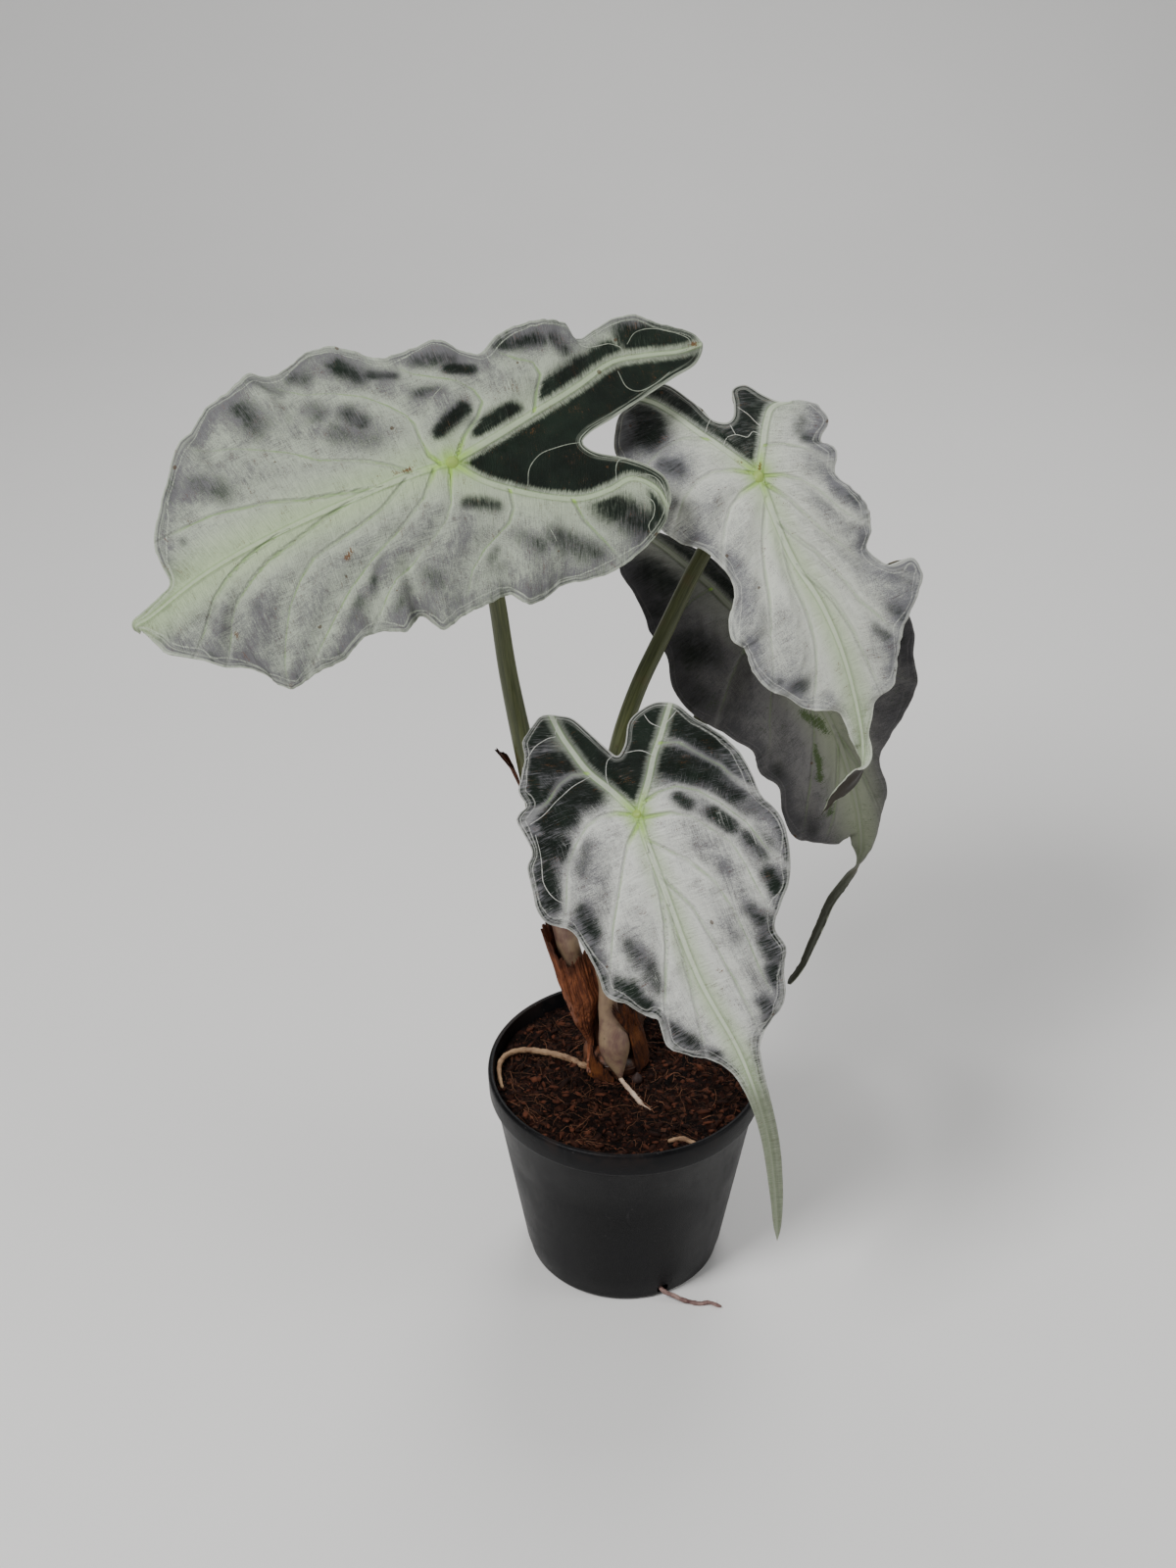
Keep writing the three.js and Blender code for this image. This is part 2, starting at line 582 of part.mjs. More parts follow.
// The soil's surface.
function soilHeight(x, y) {
  const mound = MOUND.height * Math.exp(-((x - MOUND.x) ** 2 + (y - MOUND.y) ** 2) / MOUND.spread);
  const clods =
    CLODS.first * Math.sin(0.31 * x + 1.3) * Math.cos(0.27 * y) +
    CLODS.second * Math.sin(0.63 * y - 0.45 * x);
  return SOIL_TOP + mound + clods;
}

// The radius of the pot's inside at a height. Its foot is chamfered by POT_CHAMFER.
function potInner(z) {
  const { baseRadius, rimRadius, rimStep, rimDrop, height, wall } = POT;
  const upper = rimRadius - rimStep;
  return baseRadius + ((upper - baseRadius) * z) / (height - rimDrop) - wall;
}

function potGeometry() {
  const { height, rimRadius, rimDrop, rimStep, baseRadius, floor } = POT;
  const shoulder = height - rimDrop;
  const body = rimRadius - rimStep;
  const outline = [
    [0, 0], [baseRadius - 3, 0], [baseRadius - 0.9, 0.9], [baseRadius, 3], [body, shoulder - 1.2],
    [rimRadius - 0.9, shoulder], [rimRadius - 0.5, shoulder + 1], [rimRadius, height - 1.6],
    [rimRadius - 0.5, height - 0.4], [rimRadius - 1.2, height], [potInner(height), height - 0.5],
    [potInner(floor + POT_CHAMFER), floor + POT_CHAMFER],
    [potInner(floor + POT_CHAMFER) - POT_CHAMFER, floor], [0, floor],
  ];
  const { holes, holeRadius, holeRing } = POT;
  const drains = Array.from({ length: holes }, (_, i) => {
    const drain = new THREE.CylinderGeometry(holeRadius, holeRadius, DRAIN.length, DRAIN.sides);
    drain.rotateX(Math.PI / 2);
    const angle = (2 * Math.PI * (i + 0.5)) / holes;
    return drain.translate(holeRing * Math.cos(angle), holeRing * Math.sin(angle), 0);
  });
  const slot = new THREE.BoxGeometry(SLOT.width, SLOT.depth, SLOT.high - SLOT.low);
  slot.translate(0, -baseRadius, (SLOT.high + SLOT.low) / 2);
  slot.rotateZ(Math.atan2(TABLE_ROOT[1][0], -TABLE_ROOT[1][1]));
  return cut(turned(outline, POT_SIDES), [...drains, slot]);
}

function soilGeometry(tools) {
  const floor = POT.floor + GAP;
  const corner = potInner(POT.floor + POT_CHAMFER) - GAP;
  const { sides, rings, bevel, inset } = SOIL;
  const outline = [[0, floor], [corner - POT_CHAMFER, floor], [corner, floor + POT_CHAMFER]];
  outline.push([potInner(SOIL_TOP - bevel) - GAP, SOIL_TOP - bevel]);
  const edge = potInner(SOIL_TOP) - GAP - inset;
  for (let i = 0; i < rings; i++) outline.push([edge * (1 - i / rings), SOIL_TOP]);
  outline.push([0, SOIL_TOP]);
  const soil = turned(outline, sides);
  const position = soil.attributes.position;
  for (let i = 0; i < position.count; i++)
    if (position.getZ(i) > SOIL_TOP - 0.1)
      position.setZ(i, soilHeight(position.getX(i), position.getY(i)));
  return cut(soil, tools);
}

function stemGeometry(tools, extra = 0) {
  const [bottom, top] = [STEM_PROFILE[0], STEM_PROFILE.at(-1)];
  const outline = [
    [0, bottom[1] - extra],
    ...STEM_PROFILE.map(([r, z]) => [r + extra, z]),
    [0, top[1] + extra],
  ];
  return cut(turned(outline, STEM.sides, STEM.x, STEM.y), tools);
}

const rootStations = (root) => root.map(([x, y, up, r]) => [x, y, soilHeight(x, y) + up, r]);

function budGeometry(extra = 0) {
  const { x, y, radius, height, sunk, sides, rings } = BUD;
  const foot = soilHeight(x, y) - sunk;
  const outline = [[0, foot - extra]];
  for (let i = 1; i < rings; i++) {
    const s = i / rings;
    const swell = Math.sin(Math.PI * s ** 0.8) * (1 - 0.25 * s);
    outline.push([radius * swell + extra, foot + height * s]);
  }
  outline.push([0, foot + height + extra]);
  return turned(outline, sides, x, y);
}

const plant = new THREE.Group();

function add(name, geometry, finish, parent = plant) {
  const mesh = new THREE.Mesh(geometry, finish);
  mesh.name = name;
  parent.add(mesh);
  return mesh;
}

const stalkTube = (side, extra) => taperedTube(STALKS[side], STALK_SIDES, STALK_STEPS[side], extra);
const rootTube = (stations, extra) => taperedTube(stations, ROOT_TUBE.sides, ROOT_TUBE.steps, extra);
const sides = Object.keys(BLADES);

for (const side of sides) {
  add(`blade_${side}`, bladeSolid(BLADES[side]), FINISH.blade);
  add(`stalk_${side}`, cut(stalkTube(side), [bladeSolid(BLADES[side], GAP)]), FINISH.stalk);
}
const stalksWithRoom = sides.map((side) => stalkTube(side, GAP));
add("stem", stemGeometry(stalksWithRoom), FINISH.stem);
for (const [name, sheath] of Object.entries(SHEATHS))
  add(name, cut(sheathSolid(sheath), [...stalksWithRoom, stemGeometry([], GAP)]), FINISH.sheath);
add("sheath_scrap", cut(sheathSolid(SCRAP), [stalksWithRoom[0]]), FINISH.sheath);

for (const [name, root] of Object.entries(ROOTS))
  add(name, cut(rootTube(rootStations(root)), [stemGeometry([], GAP)]), FINISH.root);
add("root_on_table", rootTube(TABLE_ROOT), FINISH.root);
add("bud", cut(budGeometry(), [stemGeometry([], GAP)]), FINISH.root);

const rootsWithRoom = Object.values(ROOTS).map((root) => rootTube(rootStations(root), GAP));
rootsWithRoom.push(rootTube(TABLE_ROOT, GAP));
add("soil", soilGeometry([stemGeometry([], GAP), ...rootsWithRoom, budGeometry(GAP)]), FINISH.soil);
add("pot", potGeometry(), FINISH.pot);

export default plant;
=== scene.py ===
"""The looks of a potted alocasia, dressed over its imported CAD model.

Plant and pot sizes are in millimetres, as the CAD source has them, and meshes are in metres.
"""
import logging
import math
import random
from dataclasses import dataclass, field
from enum import Enum
from functools import partial, reduce

import bmesh
import bpy
import numpy as np
from mathutils import Matrix, Vector, noise
from mathutils.bvhtree import BVHTree
from mathutils.geometry import barycentric_transform


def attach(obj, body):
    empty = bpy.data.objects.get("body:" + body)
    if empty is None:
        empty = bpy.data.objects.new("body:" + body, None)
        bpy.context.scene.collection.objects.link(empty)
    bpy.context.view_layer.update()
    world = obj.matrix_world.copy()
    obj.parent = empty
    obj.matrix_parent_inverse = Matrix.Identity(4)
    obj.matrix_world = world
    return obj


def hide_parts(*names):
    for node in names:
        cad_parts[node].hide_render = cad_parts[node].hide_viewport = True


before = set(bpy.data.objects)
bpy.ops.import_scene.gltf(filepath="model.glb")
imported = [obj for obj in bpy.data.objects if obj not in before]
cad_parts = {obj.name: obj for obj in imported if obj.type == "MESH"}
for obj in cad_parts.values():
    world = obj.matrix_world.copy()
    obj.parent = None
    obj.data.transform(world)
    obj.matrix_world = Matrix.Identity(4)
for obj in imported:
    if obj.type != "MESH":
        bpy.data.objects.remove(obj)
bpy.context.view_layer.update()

MM = 0.001
log = logging.getLogger("alocasia")

Point = tuple[float, ...]
Points = list[Point]
Socket = bpy.types.NodeSocket
Color = tuple[float, float, float]
Array = np.ndarray
BMesh = bmesh.types.BMesh
Verts = list[bmesh.types.BMVert]
Material = bpy.types.Material
Object = bpy.types.Object
Node = bpy.types.Node
Tree = bpy.types.NodeTree


class Side(Enum):
    """The two halves of a blade, with the sign of y on each."""

    LEFT = 1
    RIGHT = -1


def unit(vectors: Array) -> Array:
    """Returns the vectors brought to length 1."""
    return vectors / np.linalg.norm(vectors, axis=-1, keepdims=True)


def ease(value: Array, low: float, high: float) -> Array:
    """Returns a soft step that is 0 at low and 1 at high."""
    t = np.clip((value - low) / (high - low), 0, 1)
    return t * t * (3 - 2 * t)


def noise_at(*place: Array | float) -> Array:
    """Returns smooth noise at many places, given by their x, y and z."""
    return np.array([noise.noise(Vector(at)) for at in np.broadcast(*place)])


class SmoothCurve:
    """A centripetal Catmull-Rom curve through points, read by its own length."""

    PER_SPAN = 60

    def __init__(self, points: Points) -> None:
        """Samples the curve.

        Args:
            points: The points that it runs through.
        """
        p = np.array(points, float)
        p = np.vstack([2 * p[0] - p[1], p, 2 * p[-1] - p[-2]])
        steps = np.maximum(np.linalg.norm(np.diff(p, axis=0), axis=1) ** 0.5, 1e-4)
        u = np.linspace(0, 1, self.PER_SPAN, endpoint=False)[:, None]
        spans = []
        for i in range(1, len(p) - 2):
            before, here, after = steps[i - 1 : i + 2]
            a, b, c, d = p[i - 1 : i + 3]
            leave = ((b - a) / before - (c - a) / (before + here) + (c - b) / here) * here
            reach = ((c - b) / here - (d - b) / (here + after) + (d - c) / after) * here
            bend = (2 * b - 2 * c + leave + reach) * u**3
            spans.append(b + leave * u + (3 * c - 3 * b - 2 * leave - reach) * u**2 + bend)
        self.samples = np.vstack([*spans, p[-2:-1]])
        self.run = np.concatenate([[0], np.cumsum(np.linalg.norm(np.diff(self.samples, axis=0), axis=1))])
        self.knots = self.run[:: self.PER_SPAN]
        self.length = float(self.run[-1])
        self.tangents = unit(np.gradient(self.samples, self.run, axis=0))

    def read(self, table: Array, along: Array) -> Array:
        """Returns rows of a table kept at the samples, at lengths along the curve."""
        return np.stack([np.interp(along, self.run, column) for column in table.T], -1)

    def at(self, along: Array) -> Array:
        """Returns the points at lengths along the curve."""
        return self.read(self.samples, along)

    def tangent(self, along: Array) -> Array:
        """Returns the unit tangents at lengths along the curve."""
        return unit(self.read(self.tangents, along))


def line_distance(points: Array, line: Array) -> tuple[Array, Array]:
    """Measures how far flat points lie from a line of straight pieces.

    Args:
        points: Flat points, one a row.
        line: The line's corners, one a row.

    Returns:
        The distances, and for each point which side of the line it lies on, 1 for its left.
    """
    a, b = line[:-1], line[1:]
    run = b - a
    offset = points[:, None] - a
    share = np.clip((offset * run).sum(-1) / np.maximum((run**2).sum(-1), 1e-9), 0, 1)
    away = np.linalg.norm(offset - share[..., None] * run, axis=-1)
    near = away.argmin(1)
    rows = np.arange(len(points))
    turn = run[near, 0] * offset[rows, near, 1] - run[near, 1] * offset[rows, near, 0]
    return away[rows, near], np.sign(turn)


def nearest(points: Array, lines: list[Array]) -> Array:
    """Returns how far flat points lie from the nearest of some lines."""
    return np.min([line_distance(points, line)[0] for line in lines], axis=0)


def lengthened(line: Points, before: float, after: float) -> Array:
    """Returns a line with its first and last pieces drawn out."""
    p = np.array(line, float)
    p[0] -= unit(p[1] - p[0]) * before
    p[-1] += unit(p[-1] - p[-2]) * after
    return p


@dataclass(frozen=True)
class BladeFinish:
    """The colours of one blade.

    Attributes:
        silver: The bright silver along the veins.
        lilac: The thin silver, where the dark shows through.
        dark: The green between the veins.
        rib: The pale green of the midrib and of the ribs of the lobes.
        under: The underside.
        hollow: How dark the blade is midway between its side veins.
        band: How dark the band inside the margin is.
        band_width: How wide it is, in millimetres.
        blotchy: How much the silver varies.
        fringe: How far the strands at the dark parts reach.
        vein_line: How clear the green line on a side vein is.
        green_reach: How far the green of the ribs spreads, in millimetres.
        lobe_shade: How much duller the silver of the lobes is.
        rubbed: The colour of the scars.
        edge_line: How clear the pale lines along the margin are.
        tip: The underside's colour at the tip.
        drip: How far from the stalk the upper side turns plain grey-green.
        wisps: How clear the fine pale hairs over the dark parts are.
    """

    silver: Color = (0.47, 0.515, 0.41)
    lilac: Color = (0.15, 0.148, 0.154)
    dark: Color = (0.0042, 0.0078, 0.0048)
    rib: Color = (0.42, 0.56, 0.27)
    under: Color = (0.06, 0.055, 0.022)
    hollow: float = 0.3
    band: float = 0.35
    band_width: float = 4.0
    blotchy: float = 1.0
    fringe: float = 1.5
    vein_line: float = 0.5
    green_reach: float = 16
    lobe_shade: float = 0.0
    rubbed: Color = (0.15, 0.06, 0.015)
    edge_line: float = 0.6
    tip: Color = (0.012, 0.008, 0.004)
    drip: float = 128
    wisps: float = 0.15


@dataclass(frozen=True)
class BladeShape:
    """A blade drawn flat, and where it lies in space.

    x runs from the stalk to the tip and y to the left of the midrib seen from above. A margin point
    is (x, y), or (x, y, lift) where the wave raises it. An island of dark green or a scar is
    (x, y, x, y, radius, depth), a stadium between two points.
    """

    name: str
    axis: Points
    stalk_at: int
    facing: Point
    ribs: dict[Side, Points]
    margins: dict[Side, Points]
    inner: Points
    veins: dict[Side, list[Points]]
    islands: Points
    finish: BladeFinish
    threads: list[Points] = field(default_factory=list)
    scars: Points = field(default_factory=list)
    roll: Points = ((0, 0), (1, 0))
    fold: float = 0.1
    camber: float = 0.004


LEFT_BLADE = BladeShape(
    name="left",
    axis=[
        (18, 24, 385), (-18, 12, 385), (-66, -2, 384), (-105, -13, 373), (-140, -27, 361), (-157, -35, 353),
        (-174, -46, 343), (-178, -47, 341), (-178, -43, 335),
    ],
    stalk_at=2,
    facing=(-0.12, -0.72, 0.68),
    ribs={
        Side.LEFT: [(-9, 9), (-21, 15), (-33, 19), (-45, 21), (-56, 19), (-65, 16), (-73, 21), (-76, 30)],
        Side.RIGHT: [(-16, -6), (-35, -15), (-53, -23), (-69, -31), (-83, -32), (-97, -32), (-106, -34)],
    },
    margins={Side.LEFT: [
        (-74, 34), (-68, 40, 1), (-59, 46), (-50, 50, -1), (-41, 52), (-33, 52, -2), (-24, 57),
        (-16, 59, 3), (-10, 53, -3), (2, 55, -1), (16, 57, 1), (27, 60, 4), (33, 50, -4), (41, 55, 3),
        (50, 50, -2), (58, 50), (69, 54), (80, 54, 1), (97, 55, 3), (104, 47), (109, 39, -2), (116, 33),
        (121, 24, 1), (125, 17, 3), (126, 10, -2), (128, 4, -1), (132, 2),
    ], Side.RIGHT: [
        (-104, -39, -1), (-98, -43, -2), (-89, -45, 1), (-82, -48, 3), (-73, -48, 2), (-65, -46, -3),
        (-59, -44, -4), (-54, -49, 1), (-45, -50, 4), (-34, -49, 3), (-26, -47), (-19, -42, -4),
        (-12, -44, -1), (-6, -47, 4), (2, -47, 1), (12, -50, -4), (18, -54), (25, -58, 4), (34, -60, 2),
        (40, -60, -3), (47, -61, -5), (52, -62, 2), (61, -58, 3), (70, -56, 2), (76, -53, -2), (84, -47, 3),
        (90, -41, -1), (97, -31, 2), (105, -21, 2), (108, -13), (110, -6, -2), (116, -4), (123, -3, 1),
        (131, -2),
    ]},
    inner=[
        (-105, -31), (-101, -26), (-92, -22), (-77, -15), (-64, -9), (-53, -4), (-50, -1), (-53, 3),
        (-66, 8), (-74, 13), (-78, 18), (-78, 26),
    ],
    veins={Side.LEFT: [
        [(-42, 22), (-44, 29), (-48, 36), (-54, 46)],
        [(-19, 14), (-19, 22), (-16, 27), (-10, 31), (-3, 35), (6, 42), (11, 50)],
        [(1, 2), (3, 8), (5, 15), (9, 21), (16, 26), (26, 31), (36, 35), (45, 42)],
        [(7, 1), (14, 10), (23, 16), (31, 20), (42, 25), (53, 31), (66, 40)],
        [(18, 1), (30, 8), (41, 11), (51, 13), (61, 15), (69, 20), (78, 28), (85, 37)],
        [(36, 0), (53, 3), (65, 6), (76, 8), (86, 12), (96, 17), (107, 26)],
        [(64, 0), (82, 3), (92, 6), (101, 10), (113, 18)],
    ], Side.RIGHT: [
        [(-34, -15), (-36, -22), (-39, -29), (-37, -34), (-31, -36), (-25, -40)],
        [(-2, -1), (-7, -9), (-13, -15), (-16, -21), (-14, -26), (-9, -30), (-3, -33), (3, -37), (8, -43)],
        [(4, -1), (7, -5), (8, -12), (8, -18), (10, -23), (14, -28), (20, -34), (29, -40), (39, -46),
         (45, -53)],
        [(15, -1), (21, -6), (28, -11), (36, -15), (44, -19), (52, -26), (61, -32), (72, -39), (83, -46)],
        [(31, -1), (42, -4), (54, -7), (66, -12), (77, -15), (87, -18), (98, -19)],
    ]},
    islands=[
        (-41, -22, -68, -34, 3.9, 1.4), (-13, -11, -26, -15, 3, 1.3), (1, -12, -9, -19, 2.2, 1.1),
        (-78, -39, -98, -37, 5, 1.2), (-74, -27, -88, -25, 5, 1.3), (-1, 17, -12, 20, 2.5, 0.85),
        (-52, 24, -66, 35, 5.6, 0.9), (-74, 21, -72, 34, 3.4, 1.2), (-33, 34, -46, 42, 4, 0.65),
        (-17, 31, -25, 37, 3.4, 0.5), (8, 45, -10, 42, 2.2, 0.36), (-26, -42, -41, -42, 2.8, 0.8),
        (-47, -42, -51, -37, 2.8, 0.75), (-7, -35, -14, -34, 1.8, 1), (25, -49, 20, -42, 3.2, 0.7),
        (16, -42, 9, -40, 2.1, 0.75), (1, -41, -8, -38, 2.8, 0.65), (4, -28, -2, -28, 2.2, 0.55),
        (60, -48, 59, -39, 3.9, 0.55), (28, -31, 25, -25, 3, 0.65), (34, -24, 23, -16, 3.8, 0.45),
        (38, -40, 36, -35, 3, 0.5), (85, -30, 78, -20, 3.2, 0.45), (98, -15, 98, -14, 1.4, 0.5),
        (40, -54, 36, -50, 2.6, 0.6), (52, -59, 45, -52, 2, 0.6), (38, 25, 46, 35, 2, 0.45),
        (24, 38, 22, 42, 3.6, 0.45), (34, 39, 41, 46, 2.5, 0.5), (52, 36, 59, 42, 2, 0.42),
        (18, 51, 10, 47, 2.6, 0.34), (89, 22, 89, 23, 2.2, 0.4), (-4, 40, -8, 36, 2.2, 0.5),
    ],
    threads=[
        [(-5, -30), (0, -25), (4, -20), (7, -17)],
        [(-74, -33), (-73, -36), (-69, -38), (-62, -38), (-57, -41)],
        [(-94, -31), (-100, -33), (-101, -36), (-98, -39), (-88, -42), (-80, -41), (-76, -37)],
        [(-70, -27), (-72, -20), (-76, -18), (-83, -20), (-90, -24)],
        [(-26, 14), (-28, 7), (-33, 2), (-39, 0), (-45, -1), (-49, -1)],
        [(-59, 17), (-60, 11), (-62, 8), (-66, 8), (-71, 11)],
        [(-65, 16), (-70, 15), (-74, 17), (-76, 22), (-76, 27), (-74, 34)],
        [(-63, 20), (-67, 23), (-70, 27), (-69, 32), (-66, 36), (-67, 40)],
        [(-20, 25), (-26, 27), (-30, 31), (-32, 37)],
    ],
    scars=[
        (15, -2, 21, -3, 0.9, 1), (47, 19, 50, 21, 1.2, 1), (-103, -34, -102, -34, 1.2, 1),
        (103, 26, 104, 27, 1, 1),
    ],
    finish=BladeFinish(),
)

FRONT_BLADE = BladeShape(
    name="front",
    axis=[
        (-1, -15, 278), (3, -45, 258), (13, -62, 235), (26, -77, 205), (42, -86, 176), (53, -88, 141),
        (58, -87, 109), (61, -84, 76),
    ],
    stalk_at=1,
    facing=(-0.1, -0.8, 0.6),
    ribs={
        Side.LEFT: [(-14, 6), (-24, 9), (-31, 12), (-38, 15), (-45, 18)],
        Side.RIGHT: [(-11, -8), (-21, -17), (-30, -22), (-39, -26), (-48, -29)],
    },
    margins={Side.LEFT: [
        (-43, 21), (-37, 26), (-30, 34, 1), (-22, 41), (-9, 45, 2), (8, 47), (16, 50, -2), (23, 51, 1),
        (33, 49, 1), (43, 45, -1), (50, 39, 2), (59, 34, -2), (69, 35, 2), (80, 30, -1), (89, 25, 1),
        (95, 16, -2), (99, 9, 1), (111, 6), (124, 5), (140, 4.5), (159, 4), (181, 3), (196, 1.6),
    ], Side.RIGHT: [
        (-48, -33), (-44, -37), (-38, -41, 1), (-32, -41, -1), (-23, -42, 2), (-16, -44, 1), (-12, -42, -2),
        (-7, -46, 2), (-2, -44), (2, -43, -2), (6, -46, 1), (12, -47), (20, -48, 1), (26, -46), (32, -39),
        (42, -36, 1), (51, -35), (59, -35), (64, -29, 1), (70, -25, -2), (72, -21, 2), (77, -22, -1),
        (83, -23), (90, -18, 1), (98, -11), (107, -6), (117, -4), (129, -3), (153, -2.5), (176, -2),
        (194, -1.2),
    ]},
    inner=[
        (-47, -26), (-45, -21), (-38, -15), (-30, -9), (-26, -5), (-30, -2), (-40, 1), (-44, 6), (-46, 12),
    ],
    veins={Side.LEFT: [
        [(-29, 11), (-28, 19), (-22, 26), (-15, 34), (-3, 41)],
        [(-5, 3), (-8, 9), (-9, 16), (-5, 24), (4, 31), (17, 38), (27, 41), (34, 45)],
        [(1, 2), (2, 12), (6, 19), (13, 24), (22, 30), (31, 32), (40, 33), (49, 35)],
        [(10, 1), (22, 12), (33, 19), (46, 22), (61, 23), (78, 22)],
        [(25, 1), (40, 8), (56, 11), (73, 12), (89, 11)],
    ], Side.RIGHT: [
        [(-20, -16), (-20, -23), (-17, -28), (-11, -34), (-7, -41)],
        [(-1, -2), (-3, -8), (-3, -14), (-1, -20), (4, -26), (9, -31), (15, -34), (22, -37), (28, -40)],
        [(3, -1), (9, -7), (17, -12), (27, -18), (36, -23), (47, -28), (56, -32)],
        [(19, -1), (30, -2), (41, -4), (51, -7), (62, -12), (72, -17)],
        [(40, -1), (54, -2), (68, -4), (82, -8), (94, -12)],
    ]},
    islands=[
        (-26, -35, -25, -23, 4.4, 1.3), (-12, -31, -13, -17, 5, 1.4), (-5, -34, -6, -26, 3.8, 1.2),
        (2, -39, 4, -31, 3.6, 1.1), (-39, -37, -43, -29, 4, 1.2), (9, -39, 19, -41, 3.4, 1),
        (26, -32, 36, -31, 3, 0.8), (5, -22, 12, -27, 2.4, 0.6), (44, -20, 51, -17, 3, 0.65),
        (54, -15, 63, -15, 2.8, 0.75), (54, -32, 61, -25, 2.8, 0.8), (77, -19, 88, -12, 2.4, 0.8),
        (92, -13, 97, -8, 1.8, 0.8), (66, -23, 68, -22, 2.4, 0.85), (-36, 20, -27, 32, 5.2, 1.3),
        (-21, 13, -13, 28, 5.6, 1.3), (-8, 31, 3, 37, 3.8, 0.9), (-4, 16, 1, 19, 2.4, 0.85),
        (8, 28, 15, 32, 3.2, 0.8), (22, 38, 28, 41, 2.9, 0.85), (37, 39, 44, 40, 2.6, 0.8),
        (47, 28, 53, 30, 2.4, 0.65), (62, 28, 69, 29, 3.2, 0.7), (76, 26, 81, 25, 3, 0.8),
        (28, 23, 29, 24, 2, 0.4), (86, 17, 89, 18, 2.7, 0.7), (60, -6, 61, -5, 2.4, 0.35),
        (54, 19, 55, 19, 3.2, 0.35), (170, -1, 176, -1, 1.4, 0.8), (-20, -38, -14, -38, 3.2, 1),
        (-34, 26, -14, 34, 8, 0.8), (-10, 27, 12, 38, 5, 0.5), (-36, -32, -6, -32, 7, 0.75),
        (0, -36, 18, -40, 5, 0.65), (38, 40, 52, 34, 3.4, 0.45), (30, -36, 60, -30, 3, 0.42),
    ],
    threads=[
        [(-38, -28), (-37, -32), (-34, -37), (-30, -40)], [(-39, -28), (-43, -27), (-46, -27)],
        [(-35, 13), (-38, 9), (-42, 7)], [(-36, 14), (-38, 17), (-41, 20)],
        [(-19, -15), (-16, -21), (-12, -28), (-7, -35), (-5, -41)],
        [(22, -36), (18, -40), (12, -42), (5, -40), (-2, -40)],
        [(-12, -9), (-18, -10), (-24, -9), (-27, -6)], [(-24, 9), (-27, 4), (-27, -2)],
    ],
    scars=[(66, 8, 67, 9, 0.8, 1)],
    finish=BladeFinish(
        silver=(0.75, 0.76, 0.7), lilac=(0.17, 0.168, 0.178), hollow=0.26, band=0.72, fringe=2.8,
        edge_line=0.38, drip=106, wisps=0.75, vein_line=0.4, green_reach=8, lobe_shade=0.5,
    ),
)

